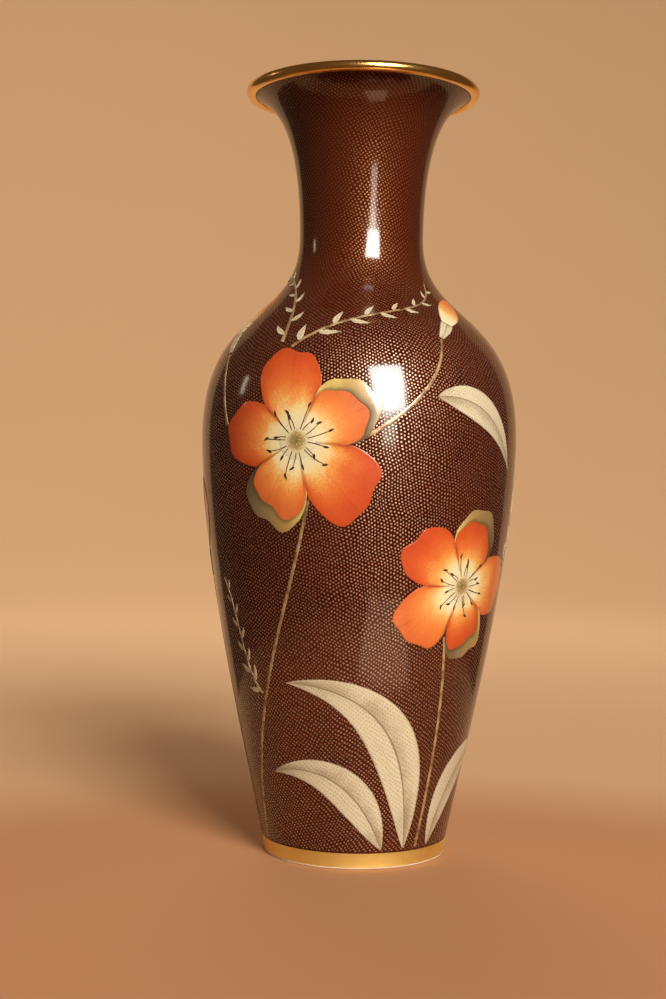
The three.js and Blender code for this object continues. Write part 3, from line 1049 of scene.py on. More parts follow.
@dataclass(frozen=True)
class OliveEnamel:
    """Olive enamel of the petals' rolled tips, shaded to gold at one end.

    Attributes:
        stops: The colours from the gold end to the dark one.
        cloud: Where the colours reach further.
        cloud_share: How much further.
        stipple: How far the stipple scatters them.
        shadow: The colour under the roll.
        shadow_share: How strong that is.
        metallic: How metallic the gold in it looks.
        roughness: The least roughness under the gloss.
        cloud_roughness: What the clouds add.
        relief: How the stipple shows.
    """

    stops: tuple[tuple[float, Colour], ...] = (
        (0.0, (0.64, 0.46, 0.13)), (0.3, (0.34, 0.215, 0.060)),
        (0.62, (0.22, 0.145, 0.060)), (1.0, (0.060, 0.034, 0.014)),
    )
    cloud: Noise = Noise(150.0, 3.0, 0.6)
    cloud_share: float = 0.3
    stipple: float = 0.22
    shadow: Colour = (0.060, 0.034, 0.014)
    shadow_share: float = 0.65
    metallic: float = 0.2
    roughness: float = 0.36
    cloud_roughness: float = 0.1
    relief: Relief = Relief(0.04 * MM, 0.5)

    def material(self) -> bpy.types.Material:
        """The enamel as a material.

        Returns:
            The material.
        """
        sheet = Sheet("olive_gold_enamel")
        place = sheet.place()
        across, upward = sheet.uv(FLAT_MAP)
        cloud, grain = self.cloud.over(place), STIPPLE.over(place)
        scatter = (cloud - 0.5) * self.cloud_share + (grain - 0.5) * self.stipple
        colour = sheet.ramp(across + scatter, *self.stops)
        return sheet.finish(
            Base_Color=sheet.blend(upward.below(0.0, 0.45) * self.shadow_share, colour, self.shadow),
            Metallic=self.metallic, Roughness=self.roughness + cloud * self.cloud_roughness,
            **ENAMEL_COAT, Normal=self.relief.over(grain),
        )


@dataclass(frozen=True)
class StemEnamel:
    """Brown and gold enamel of the thin stems.

    Attributes:
        brown: The brown flecks.
        gold: The gold between them.
        cloud: Where the flecks are.
        stipple: How far the stipple scatters them.
        metallic: How metallic the gold in it looks.
        roughness: The least roughness under the gloss.
        cloud_roughness: What the flecks add.
        relief: How the flecks show.
    """

    brown: Colour = (0.12, 0.052, 0.020)
    gold: Colour = (0.42, 0.28, 0.12)
    cloud: Noise = Noise(210.0, 4.0, 0.65)
    stipple: float = 0.3
    metallic: float = 0.25
    roughness: float = 0.36
    cloud_roughness: float = 0.1
    relief: Relief = Relief(0.04 * MM, 0.5)

    def material(self) -> bpy.types.Material:
        """The enamel as a material.

        Returns:
            The material.
        """
        sheet = Sheet("brown_gold_enamel")
        place = sheet.place()
        cloud, grain = self.cloud.over(place), STIPPLE.over(place)
        flecks = (cloud + grain * self.stipple).above(0.45, 0.85)
        return sheet.finish(
            Base_Color=sheet.blend(flecks, self.gold, self.brown),
            Metallic=self.metallic, Roughness=self.roughness + cloud * self.cloud_roughness,
            **ENAMEL_COAT, Normal=self.relief.over(cloud),
        )


@dataclass(frozen=True)
class HeartEnamel:
    """Olive and cream enamel of a blossom's heart, stippled with pollen.

    Attributes:
        stops: The colours from the middle to the edge.
        grain: The stipple.
        stipple: How far it scatters the colours.
        pollen: The colour of the grains of pollen.
        pollen_scale: How fine those are.
        pollen_share: How strong they are.
        roughness: The roughness under the gloss.
        grain_polish: How much smoother the stipple makes it.
        relief: How the pollen stands up.
    """

    stops: tuple[tuple[float, Colour], ...] = (
        (0.0, (0.13, 0.09, 0.03)), (0.38, (0.30, 0.21, 0.08)),
        (0.66, (0.56, 0.47, 0.28)), (1.0, (0.56, 0.47, 0.28)),
    )
    grain: Noise = Noise(1100.0, 2.0, 0.6)
    stipple: float = 0.4
    pollen: Colour = (0.62, 0.40, 0.09)
    pollen_scale: float = 1000.0
    pollen_share: float = 0.8
    roughness: float = 0.42
    grain_polish: float = 0.08
    relief: Relief = Relief(0.08 * MM, 0.7)

    def material(self) -> bpy.types.Material:
        """The enamel as a material.

        Returns:
            The material.
        """
        sheet = Sheet("olive_cream_heart_enamel")
        place = sheet.place()
        across, upward = sheet.uv(FLAT_MAP)
        out = away(across - 0.5, upward - 0.5) * 2
        grain = self.grain.over(place)
        colour = sheet.ramp(out + (grain - 0.5) * self.stipple, *self.stops)
        cells = {"Vector": place, "Scale": self.pollen_scale, "Randomness": 1.0}
        seeds = sheet.make("ShaderNodeTexVoronoi", {"feature": "F1"}, cells, "Distance").below(0.18, 0.34)
        colour = sheet.blend(seeds * out.below(0.35, 0.75) * self.pollen_share, colour, self.pollen)
        return sheet.finish(
            Base_Color=colour, Roughness=self.roughness - grain * self.grain_polish,
            **ENAMEL_COAT, Normal=self.relief.over(seeds),
        )


@dataclass(frozen=True)
class DarkEnamel:
    """Dark brown enamel of the fine stamens.

    Attributes:
        dark: Its darkest brown.
        brown: Its lightest.
        cloud: Where it is lighter.
        roughness: The least roughness under the gloss.
        cloud_roughness: What a lighter brown adds.
        gloss: How strong the gloss is.
        gloss_roughness: Its roughness.
        relief: How the clouds show.
    """

    dark: Colour = (0.022, 0.010, 0.005)
    brown: Colour = (0.07, 0.025, 0.008)
    cloud: Noise = Noise(700.0, 3.0)
    roughness: float = 0.35
    cloud_roughness: float = 0.1
    gloss: float = 0.7
    gloss_roughness: float = 0.1
    relief: Relief = Relief(0.03 * MM, 0.5)

    def material(self) -> bpy.types.Material:
        """The enamel as a material.

        Returns:
            The material.
        """
        sheet = Sheet("dark_brown_enamel")
        cloud = self.cloud.over(sheet.place())
        return sheet.finish(
            Base_Color=sheet.blend(cloud, self.dark, self.brown),
            Roughness=self.roughness + cloud * self.cloud_roughness,
            Coat_Weight=self.gloss, Coat_Roughness=self.gloss_roughness, Normal=self.relief.over(cloud),
        )


ORANGE_STOPS = (
    (0.0, (0.60, 0.54, 0.36)), (0.20, (0.64, 0.52, 0.27)), (0.36, (0.64, 0.32, 0.085)),
    (0.57, (0.58, 0.165, 0.034)), (0.8, (0.51, 0.118, 0.025)), (1.0, (0.47, 0.095, 0.019)),
)
DEEP_STOPS = (
    (0.0, (0.58, 0.51, 0.32)), (0.18, (0.62, 0.46, 0.20)), (0.33, (0.60, 0.255, 0.058)),
    (0.54, (0.52, 0.112, 0.022)), (0.8, (0.44, 0.062, 0.012)), (1.0, (0.38, 0.047, 0.009)),
)


class Finish(Enum):
    """The finishes of the vase, each by the record's slot that it takes after."""

    BISQUE = ("porcelain", Bisque())
    WHITE = ("clear_glaze", WhiteGlaze())
    GROUND = ("ground_glaze", GroundGlaze())
    GILT = ("gilding", Gilding())
    ORANGE = ("orange_enamel", PetalEnamel("orange_enamel_shaded", ORANGE_STOPS))
    DEEP = ("deep_enamel", PetalEnamel("deep_orange_enamel_shaded", DEEP_STOPS))
    OLIVE = ("olive_enamel", OliveEnamel())
    CREAM = ("cream_enamel", CreamEnamel("cream_enamel_veined"))
    STEM = ("cream_enamel", StemEnamel())
    HEART = ("cream_enamel", HeartEnamel())
    DARK = ("cream_enamel", DarkEnamel())

    @property
    def slot(self) -> str:
        """The record's material slot."""
        return self.value[0]

    def dress(self, piece: bpy.types.Object) -> None:
        """Gives a piece this finish.

        Args:
            piece: The piece.
        """
        maker = self.value[1]
        if self not in MATERIALS:
            MATERIALS[self] = maker.material()
        piece.data.materials.clear()
        piece.data.materials.append(MATERIALS[self])


MATERIALS: dict[Finish, bpy.types.Material] = {}


# Turned coats

COAT = 0.4 * MM
CLEARANCE = 0.3 * MM
SEAM = 0.08 * MM
FOOT_BAND_TOP = 6.5 * MM
LIP_BAND_INSIDE = 4 * MM
BARE_FOOT = 0.6 * MM
TURN_STEPS = 288
COAT_BACK_STEPS = 24
MERGE_DISTANCE = 0.002 * MM
LEAST_EDGE = 0.001 * MM
TURNED_CREASE = math.radians(35)
RUN_STEPS = {
    "foothold": 8, "lower": 64, "shoulder": 56, "flare": 44, "bead": 36, "throat_band": 6,
    "throat": 24, "inner_shoulder": 40, "cavity": 30, "cove": 10,
}
RING_INNER_EDGE = ((-0.3 * MM, 0.5 * MM), (-0.1 * MM, 0.12 * MM), (0.2 * MM, 0.0))
RING_OUTER_EDGE = ((-0.15 * MM, 0.0), (0.2 * MM, 0.1 * MM))
FOOT_EDGE = (-0.02 * MM, 0.3 * MM)
BODY_STRIDE, FOOTHOLD_STRIDE, LINER_STRIDE = 2, 4, 4


def stamp_lattice(piece: bpy.types.Object) -> None:
    """Gives a piece the UV map in which each dot stands at whole numbers.

    Args:
        piece: The piece.
    """
    mesh = piece.data
    layer = mesh.uv_layers.get(LATTICE_MAP) or mesh.uv_layers.new(name=LATTICE_MAP)
    places = [vertex.co for vertex in mesh.vertices]
    turns = [math.atan2(co.x, -co.y) / math.tau for co in places]
    for polygon in mesh.polygons:
        rounds = [turns[v] for v in polygon.vertices]
        wraps = max(rounds) - min(rounds) > 0.5
        for loop, vertex, turn in zip(polygon.loop_indices, polygon.vertices, rounds):
            turn = turn + 1 if wraps and turn < 0 else turn
            layer.data[loop].uv = DOTS.coordinates(turn, places[vertex].z)


def settle(piece: bpy.types.Object, finish: Finish, *nodes: str) -> bpy.types.Object:
    """Dresses a finished piece, hides the nodes that it stands for and lets it ride.

    Args:
        piece: The finished piece.
        finish: Its finish.
        nodes: The CAD nodes that it replaces.

    Returns:
        The piece.
    """
    finish.dress(piece)
    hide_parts(*nodes)
    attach(piece, BODY)
    log.info("made %s for %s", piece.name, ", ".join(nodes))
    return piece


@dataclass
class TurnedCoats:
    """The porcelain body and the coats that go all round it.

    Attributes:
        outline: The vase's outline.
        foot_ring_width: The bare ring's width.
        foot_chamfer: The break of the ring's outer edge.
        foot_recess: The depth of the hollow under the base.
        recess_draft: How far the hollow's wall leans.
        parts: The runs of the outline that each coat covers, by their names.
    """

    outline: Outline
    foot_ring_width: float = 5 * MM
    foot_chamfer: float = 0.4 * MM
    foot_recess: float = 3 * MM
    recess_draft: float = 0.6 * MM
    parts: dict[str, list[Place]] = field(default_factory=dict)

    def __post_init__(self) -> None:
        """Cuts the outline into the runs that each coat covers."""
        lower, shoulder, flare = self.outline.outside()
        throat, inner_shoulder, cavity = self.outline.inside()
        height = self.outline.height
        crease = crossing(flare, flare.at(1)[1] - SEAM)
        self.parts["foothold"] = along(
            lower, RUN_STEPS["foothold"], crossing(lower, BARE_FOOT + SEAM), crossing(lower, FOOT_BAND_TOP))
        self.parts["ground"] = (
            along(lower, RUN_STEPS["lower"], crossing(lower, FOOT_BAND_TOP + SEAM))
            + along(shoulder, RUN_STEPS["shoulder"])[1:] + along(flare, RUN_STEPS["flare"], 0.0, crease)[1:]
        )
        start, end = self.outline.crease_angle - math.tau, self.outline.throat_angle
        steps = RUN_STEPS["bead"]
        self.parts["bead"] = [self.outline.on_bead(mix(start, end, i / steps)) for i in range(steps + 1)]
        band_end = crossing(throat, height - LIP_BAND_INSIDE)
        self.parts["throat_band"] = along(throat, RUN_STEPS["throat_band"], 0.0, band_end)[1:]
        self.parts["liner"] = (
            along(throat, RUN_STEPS["throat"], crossing(throat, height - LIP_BAND_INSIDE - SEAM))
            + along(inner_shoulder, RUN_STEPS["inner_shoulder"])[1:] + along(cavity, RUN_STEPS["cavity"])[1:]
            + self.cove(RUN_STEPS["cove"])[1:]
        )

    def cove(self, steps: int) -> list[Place]:
        """The round corner between the cavity's wall and its floor.

        Args:
            steps: How many steps it is made of.

        Returns:
            Its places, from the wall to the floor.
        """
        outline, radius = self.outline, self.outline.cavity_cove
        centre = (outline.foot_radius - outline.cavity_inset - radius, outline.floor_height + radius)
        made = []
        for i in range(steps + 1):
            angle = -math.pi / 2 * i / steps
            side = (math.cos(angle), math.sin(angle))
            at = (centre[0] + side[0] * radius, centre[1] + side[1] * radius)
            made.append(Place(at, (-side[0], -side[1])))
        return made

    @staticmethod
    def spin(name: str, outline: Sequence[Flat], steps: int = TURN_STEPS,
             angle: float = math.tau) -> bpy.types.Object:
        """Turns a closed outline into a solid about +Z.

        Args:
            name: The piece's name.
            outline: Radii and heights, in order round the outline.
            steps: The steps of the turn.
            angle: How far it is turned.

        Returns:
            The turned piece.
        """
        bpy.ops.object.select_all(action="DESELECT")
        bpy.ops.mesh.primitive_circle_add(vertices=len(outline), radius=OUTLINE.belly_radius)
        piece = bpy.context.object
        piece.name = piece.data.name = name
        for vertex, (radius, height) in zip(piece.data.vertices, outline):
            vertex.co = (radius, 0.0, height)
        bpy.ops.object.mode_set(mode="EDIT")
        bpy.ops.mesh.select_all(action="SELECT")
        bpy.ops.mesh.spin(steps=steps, angle=angle, center=(0, 0, 0), axis=(0, 0, 1), use_auto_merge=True)
        bpy.ops.mesh.select_all(action="SELECT")
        bpy.ops.mesh.remove_doubles(threshold=MERGE_DISTANCE)
        bpy.ops.mesh.dissolve_degenerate(threshold=LEAST_EDGE)
        bpy.ops.mesh.select_all(action="SELECT")
        bpy.ops.mesh.normals_make_consistent(inside=False)
        bpy.ops.object.mode_set(mode="OBJECT")
        bpy.ops.object.shade_smooth_by_angle(angle=TURNED_CREASE)
        return piece

    def coat(self, name: str, places: Sequence[Place]) -> bpy.types.Object:
        """A coat of even thickness over a run of the skin.

        Args:
            name: The piece's name.
            places: The run, which is the coat's outside.

        Returns:
            The turned coat.
        """
        outer = [place.at for place in places]
        inner = [place.lifted(-COAT) for place in places[:: max(1, len(places) // COAT_BACK_STEPS)]]
        if math.dist(inner[-1], places[-1].lifted(-COAT)) > SEAM:
            inner.append(places[-1].lifted(-COAT))
        return self.spin(name, outer + inner[::-1])

    def build_body(self) -> None:
        """The porcelain, with its bare foot ring and the recess inside it."""
        depth = COAT + CLEARANCE
        skin = [place.lifted(-depth) for key in ("foothold", "ground", "bead", "throat_band", "liner")
                for place in self.parts[key][:: FOOTHOLD_STRIDE if key == "foothold" else BODY_STRIDE]]
        ring_outer = self.outline.foot_radius - self.foot_chamfer
        ring_inner = ring_outer - self.foot_ring_width
        radius = self.outline.foot_radius
        low = [
            (0.0, self.foot_recess), (ring_inner - self.recess_draft, self.foot_recess),
            *((ring_inner + out, height) for out, height in RING_INNER_EDGE),
            *((ring_outer + out, height) for out, height in RING_OUTER_EDGE),
            (radius + FOOT_EDGE[0], FOOT_EDGE[1]), (radius, BARE_FOOT), (radius - depth, BARE_FOOT),
        ]
        top = [(0.0, self.outline.floor_height - depth)]
        settle(self.spin("vase_porcelain_body", low + skin + top), Finish.BISQUE, "porcelain_body")

    def build_white_glazes(self) -> None:
        """The clear glaze in the cavity and in the recess under the base."""
        places = self.parts["liner"]
        floor = self.outline.floor_height
        outer = [place.at for place in places]
        inner = [place.lifted(-COAT) for place in places[::LINER_STRIDE]]
        closed = [(0.0, floor - COAT), *inner[::-1], *outer, (0.0, floor)]
        settle(self.spin("vase_inner_glaze", closed), Finish.WHITE, "inner_glaze")
        ring_inner = self.outline.foot_radius - self.foot_chamfer - self.foot_ring_width
        edge, top = ring_inner - self.recess_draft - CLEARANCE, self.foot_recess - CLEARANCE
        disc = [
            (0.0, top - COAT), (edge - 2 * COAT, top - COAT), (edge - COAT, top - 0.7 * COAT),
            (edge, top), (0.0, top),
        ]
        settle(self.spin("vase_base_glaze", disc), Finish.WHITE, "base_glaze")

    def build_ground(self) -> None:
        """The brown ground with its lattice of dots."""
        piece = self.coat("vase_ground_glaze", self.parts["ground"])
        stamp_lattice(piece)
        settle(piece, Finish.GROUND, "ground_glaze")

    def build_gilding(self) -> None:
        """The two gilt bands."""
        settle(self.coat("vase_foot_gilding", self.parts["foothold"]), Finish.GILT, "foot_gilding")
        band = self.parts["bead"] + self.parts["throat_band"]
        settle(self.coat("vase_lip_gilding", band), Finish.GILT, "lip_gilding")

    def build(self) -> None:
        """Makes every turned piece."""
        self.build_body()
        self.build_white_glazes()
        self.build_ground()
        self.build_gilding()


# Enamelled flowers

UNIT_TURNS = 57.3 / 360
UNIT_RISE = 0.196
ENAMEL_SINK = 0.04 * MM
ENAMEL_THICK = 0.24 * MM
ENAMEL_RAISED = ENAMEL_THICK * 1.1
ENAMEL_CREASE = math.radians(50)
EDGE_SHARE = 0.4
EDGE_SEGMENTS = 2
OVERLAP = 0.06 * MM
POINT_WIDTH = 0.02


@dataclass(frozen=True)
class Motif:
    """Where a flat motif lies on the vase.

    Attributes:
        name: The CAD node's name, or the start of its nodes' names.
        azimuth: Degrees round from the front, to the right.
        rise: The share of the outline's length.
        widen: What widens it where the vase is narrow.
        turn: Degrees that it is turned by.
    """

    name: str
    azimuth: float
    rise: float
    widen: float = 1.0
    turn: float = 0.0

    def wrap(self, x: float, y: float, lift: float = 0.0) -> Vector:
        """A flat place wrapped on the vase.

        Args:
            x: Across, in flat units.
            y: Up, in flat units.
            lift: The height over the ground glaze.

        Returns:
            The place.
        """
        turn = math.radians(self.turn)
        across = x * math.cos(turn) - y * math.sin(turn)
        up = x * math.sin(turn) + y * math.cos(turn)
        place = SKIN.at(self.rise + up * UNIT_RISE)
        radius, height = place.lifted(lift)
        angle = math.radians(self.azimuth) + across * self.widen * UNIT_TURNS * math.tau
        return Vector((radius * math.sin(angle), -radius * math.cos(angle), height))


@dataclass(frozen=True)
class Ribbon:
    """A spine with a half width, both in flat units.

    Attributes:
        spine: The four control places of a cubic curve.
        width: The greatest half width.
        shape: How the half width changes along the spine.
    """

    spine: tuple[Flat, Flat, Flat, Flat]
    width: float
    shape: Callable[[float], float]

    def place(self, u: float, v: float) -> Flat:
        """A flat place on the ribbon.

        Args:
            u: The share of its length.
            v: The share of its width.

        Returns:
            The place.
        """
        stretch = Stretch(self.spine)
        at, heading = stretch.at(u), stretch.heading(u)
        offset = (2 * v - 1) * self.width * self.shape(u)
        return at[0] + heading[1] * offset, at[1] - heading[0] * offset

    def scaled(self, size: float) -> "Ribbon":
        """The ribbon at another size."""
        return Ribbon(tuple((x * size, y * size) for x, y in self.spine), self.width * size, self.shape)


def leaf_shape(u: float) -> float:
    """Pointed at both ends and fullest a little under the middle."""
    return max(POINT_WIDTH, math.sin(math.pi * u**0.85) ** 0.9) if 0 < u < 1 else POINT_WIDTH


def stem_shape(u: float) -> float:
    """Thinner towards the flower."""
    return 1 - 0.35 * u


def bud_shape(u: float) -> float:
    """Blunt at the foot and pointed at the tip."""
    return max(0.06, math.sin(math.pi * (0.12 + 0.85 * u)) ** 0.7)


def cup_shape(u: float) -> float:
    """Narrow at the stem and wide at the bloom."""
    return 0.35 + 0.65 * math.sin(math.pi / 2 * u)


def hair_shape(u: float) -> float:
    """Thicker at the foot, as a stamen's thread is."""
    return 1 - 0.45 * u


class EnamelPainter:
    """Lays flat patches on the vase as thin raised enamel."""

    @staticmethod
    def patch(name: str, motif: Motif, rows: int, columns: int, place: Callable[[float, float], Flat],
              lift: Callable[[float, float], float] | float = 0.0) -> bpy.types.Object:
        """A sheet of enamel without thickness yet.

        Args:
            name: The piece's name.
            motif: Where it lies.
            rows: Its rows of faces.
            columns: Its columns of faces.
            place: The flat place at shares of its length and width.
            lift: Its height over the ground glaze, the same all over or at those shares.

        Returns:
            The sheet, with a UV map of those shares.
        """
        bpy.ops.object.select_all(action="DESELECT")
        bpy.ops.mesh.primitive_grid_add(x_subdivisions=columns, y_subdivisions=rows, size=1.0)
        piece = bpy.context.object
        piece.name = piece.data.name = name
        for vertex in piece.data.vertices:
            u, v = vertex.co.y + 0.5, vertex.co.x + 0.5
            height = lift(u, v) if callable(lift) else lift
            vertex.co = motif.wrap(*place(u, v), height - ENAMEL_SINK)
        return piece

    @staticmethod
    def thicken(piece: bpy.types.Object, thickness: float = ENAMEL_THICK) -> bpy.types.Object:
        """Gives a sheet its thickness and a soft edge.

        Args:
            piece: The sheet.
            thickness: How thick the enamel is, with what is sunk in the glaze.

        Returns:
            The closed piece.
        """
        select_only(piece)
        solid = piece.modifiers.new("thickness", "SOLIDIFY")
        solid.thickness = thickness
        solid.offset = 1.0
        bpy.ops.object.modifier_apply(modifier=solid.name)
        bevel = piece.modifiers.new("edge", "BEVEL")
        bevel.width = thickness * EDGE_SHARE
        bevel.segments = EDGE_SEGMENTS
        bevel.limit_method = "ANGLE"
        bevel.angle_limit = ENAMEL_CREASE
        bpy.ops.object.modifier_apply(modifier=bevel.name)
        bpy.ops.object.shade_smooth_by_angle(angle=ENAMEL_CREASE)
        stamp_lattice(piece)
        return piece

    @staticmethod
    def join(pieces: Sequence[bpy.types.Object]) -> bpy.types.Object:
        """Joins pieces into the first one.

        Args:
            pieces: The pieces.

        Returns:
            The first one, with all their meshes.
        """
        select_only(pieces[0])
        for piece in pieces[1:]:
            piece.select_set(True)
        bpy.ops.object.join()
        return pieces[0]

    @classmethod
    def lay(cls, motif: Motif, node: str, finish: Finish, grid: tuple[int, int],
            place: Callable[[float, float], Flat], lift: Callable[[float, float], float] | float = 0.0,
            thickness: float = ENAMEL_THICK) -> None:
        """Makes one finished piece of enamel for a CAD node.

        Args:
            motif: Where it lies.
            node: The node, which names the piece.
            finish: Its finish.
            grid: Its rows and columns of faces.
            place: The flat place at shares of its length and width.
            lift: Its height over the ground glaze, the same all over or at those shares.
            thickness: How thick the enamel is, with what is sunk in the glaze.
        """
        sheet = cls.patch(f"vase_{node}", motif, *grid, place, lift)
        settle(cls.thicken(sheet, thickness), finish, node)


PETAL_GRID, TIP_GRID, HEART_GRID = (20, 56), (10, 56), (20, 20)
THREAD_GRID, ANTHER_GRID = (8, 2), (8, 4)
CUP_GRID, BUD_CUP_GRID, BLOOM_GRID, SIDE_PETAL_GRID = (16, 12), (16, 10), (32, 14), (40, 14)
LEAF_GRID, STEM_GRID = (56, 14), (56, 2)
SPRIG_STEM_GRID, LEAFLET_GRID = (60, 2), (12, 4)


@dataclass(frozen=True)
class Petal:
    """One petal of an open blossom.

    Attributes:
        angle: Degrees from the right, where it points.
        spread: Degrees that it fills.
        length: Its length as a share of the blossom's size.
        seed: What makes its edge its own.
        lean: Where its rolled tip is deepest, from one side (-1) to the other (1), or None without one.
    """

    angle: float
    spread: float
    length: float
    seed: float
    lean: float | None = None


@dataclass
class OpenBlossom:
    """A blossom of five petals seen from the front, with its heart and stamens.

    Attributes:
        motif: Where it lies.
        size: Its radius in flat units.
        petals: Its petals.
        heart_share: The heart's radius.
        petal_start: Where the petals start.
        petal_tuck: How far a petal goes under the next one.
        roll_thin: The share of a petal that its rolled tip takes at the sides.
        roll_deep: What it takes more where it is deepest.
        roll_under: The share of the tip that the petal goes on under.
        roundness: How far a petal's edge falls back at its sides.
        ripple: The waves of its edge.
        stamen_count: How many stamens stand round the heart.
        stamen_start: Where they start, as a share of the heart's radius.
        stamen_reach: How far the longest reach.
        stamen_scatter: How unevenly they stand, beside the step from one to the next.
        stamen_bend: How far they bend round, in radians.
        thread_width: Half a thread's width at its foot.
        anther_half: Half an anther's length.
        anther_width: Half its width.
        anther_tilt: How far it leans from its thread.
    """

    motif: Motif
    size: float
    petals: Sequence[Petal]
    heart_share: float = 0.2
    petal_start: float = 0.17
    petal_tuck: float = 0.004
    roll_thin: float = 0.03
    roll_deep: float = 0.17
    roll_under: float = 0.25
    roundness: float = 0.42
    ripple: float = 0.035
    stamen_count: int = 17
    stamen_start: float = 0.62
    stamen_reach: float = 0.4
    stamen_scatter: float = 0.22
    stamen_bend: float = 0.16
    thread_width: float = 0.0052
    anther_half: float = 0.036
    anther_width: float = 0.0125
    anther_tilt: float = 0.7

    def edge(self, side: float, seed: float) -> float:
        """The petal's outer edge, as a share of its length, from one side to the other."""
        ripple = math.sin(5 * side + seed) + math.sin(11 * side + 2 * seed) / 2
        return 1 - self.roundness * abs(side) ** 3 + self.ripple * ripple

    def roll_depth(self, side: float, lean: float) -> float:
        """How much of a petal's length its rolled tip takes."""
        return self.roll_thin + self.roll_deep * math.cos(math.pi / 2 * (side - lean) / (1 + abs(lean)))

    def sector(self, petal: Petal, is_tip: bool = False) -> Callable[[float, float], Flat]:
        """The places of a petal, or of its rolled tip alone.

        Args:
            petal: The petal.
            is_tip: Whether it is the tip.

        Returns:
            The flat place at shares of the length and width.
        """

        def place(u: float, v: float) -> Flat:
            """A flat place of the sector.

            Args:
                u: The share of its length.
                v: The share of its width.

            Returns:
                The place.
            """
            side = 1 - 2 * v
            reach = self.size * petal.length * self.edge(side, petal.seed)
            roll = reach if petal.lean is None else reach * (1 - self.roll_depth(side, petal.lean))
            tucked = roll if petal.lean is None else mix(roll, reach, self.roll_under)
            start, end = (roll, reach) if is_tip else (self.size * self.petal_start, tucked)
            radius = mix(start, end, u)
            half = math.radians(petal.spread / 2) + math.asin(self.size * self.petal_tuck / radius)
            angle = math.radians(petal.angle) + side * half
            return radius * math.cos(angle), radius * math.sin(angle)

        return place

    def build_petals(self) -> None:
        """The petals, each tucked under the next, and the rolled tips of some."""

        def lift(u: float, v: float) -> float:
            """One side lies on the petal before, the other goes under the petal after."""
            return OVERLAP * (1 - v) + OVERLAP * math.sin(math.pi * v) * u

        for count, petal in enumerate(self.petals, 1):
            node, finish = f"{self.motif.name}_petal_{count}", Finish.DEEP if count % 2 else Finish.ORANGE
            EnamelPainter.lay(self.motif, node, finish, PETAL_GRID, self.sector(petal), lift)
            if petal.lean is not None:
                self.build_tip(petal, f"{node}_fold")

    def build_tip(self, petal: Petal, node: str) -> None:
        """The rolled tip of a petal, which stands a little higher, with a round back.

        Args:
            petal: The petal.
            node: The tip's CAD node.
        """

        def lift(u: float, v: float) -> float:
            """Highest along the middle of the roll."""
            across = math.sin(math.pi * min(max(v, 0.0), 1.0)) ** 0.5
            return OVERLAP + 2 * OVERLAP * math.sin(math.pi * u) * across

        place = self.sector(petal, True)
        EnamelPainter.lay(self.motif, node, Finish.OLIVE, TIP_GRID, place, lift, ENAMEL_RAISED)

    def build_heart(self) -> None:
        """The round heart, a low dome."""
        size = self.size * self.heart_share

        def place(u: float, v: float) -> Flat:
            """A flat place of the disc."""
            a, b = 2 * v - 1, 2 * u - 1
            return size * a * math.sqrt(1 - b * b / 2), size * b * math.sqrt(1 - a * a / 2)

        def lift(u: float, v: float) -> float:
            """Highest in the middle."""
            a, b = 2 * v - 1, 2 * u - 1
            return OVERLAP + 3 * OVERLAP * (1 - a * a) * (1 - b * b)

        node = f"{self.motif.name}_heart"
        EnamelPainter.lay(self.motif, node, Finish.HEART, HEART_GRID, place, lift, ENAMEL_RAISED)

    def thread(self, k: int) -> Ribbon:
        """The thread of one stamen, bent a little its own way.

        Args:
            k: Its number.

        Returns:
            Its ribbon, from the heart outwards.
        """
        angle = math.tau * (k + self.stamen_scatter * math.sin(3.7 * k)) / self.stamen_count
        reach = self.size * self.stamen_reach * (0.8 + 0.2 * math.sin(2.3 * k + 1))
        start = self.size * self.heart_share * self.stamen_start
        bend = self.stamen_bend * math.sin(1.9 * k + 0.5)
        ends = []
        for share in (0, 1 / 3, 2 / 3, 1):
            radius, turned = mix(start, reach, share), angle + bend * share * share
            ends.append((radius * math.cos(turned), radius * math.sin(turned)))
        return Ribbon(tuple(ends), self.size * self.thread_width, hair_shape)

    def anther(self, k: int, thread: Ribbon) -> Ribbon:
        """The anther at the end of a thread, leaning a little its own way.

        Args:
            k: The stamen's number.
            thread: Its thread.

        Returns:
            The anther's ribbon.
        """
        before, tip = thread.spine[2:]
        heading = unit((tip[0] - before[0], tip[1] - before[1]))
        tilt = self.anther_tilt * math.sin(4.1 * k)
        heading = unit((heading[0] - tilt * heading[1], heading[1] + tilt * heading[0]))
        half = self.size * self.anther_half
        spine = tuple((tip[0] + heading[0] * half * s, tip[1] + heading[1] * half * s)
                      for s in (-1, -1 / 3, 1 / 3, 1))
        return Ribbon(spine, self.size * self.anther_width, leaf_shape)

    def build_stamens(self) -> None:
        """The fine dark stamens that stand round the heart, each with its anther."""
        motif, pieces = self.motif, []
        for k in range(self.stamen_count):
            thread = self.thread(k)
            parts = ("thread", THREAD_GRID, thread), ("anther", ANTHER_GRID, self.anther(k, thread))
            for word, grid, ribbon in parts:
                name = f"{motif.name}_{word}"
                pieces.append(EnamelPainter.patch(name, motif, *grid, ribbon.place, 3 * OVERLAP))
        pieces[0].name = pieces[0].data.name = f"vase_{motif.name}_stamens"
        stamens = EnamelPainter.thicken(EnamelPainter.join(pieces), ENAMEL_RAISED)
        settle(stamens, Finish.DARK, f"{motif.name}_heart")

    def build(self) -> None:
        """Makes the whole blossom."""
        self.build_petals()
        self.build_heart()
        self.build_stamens()


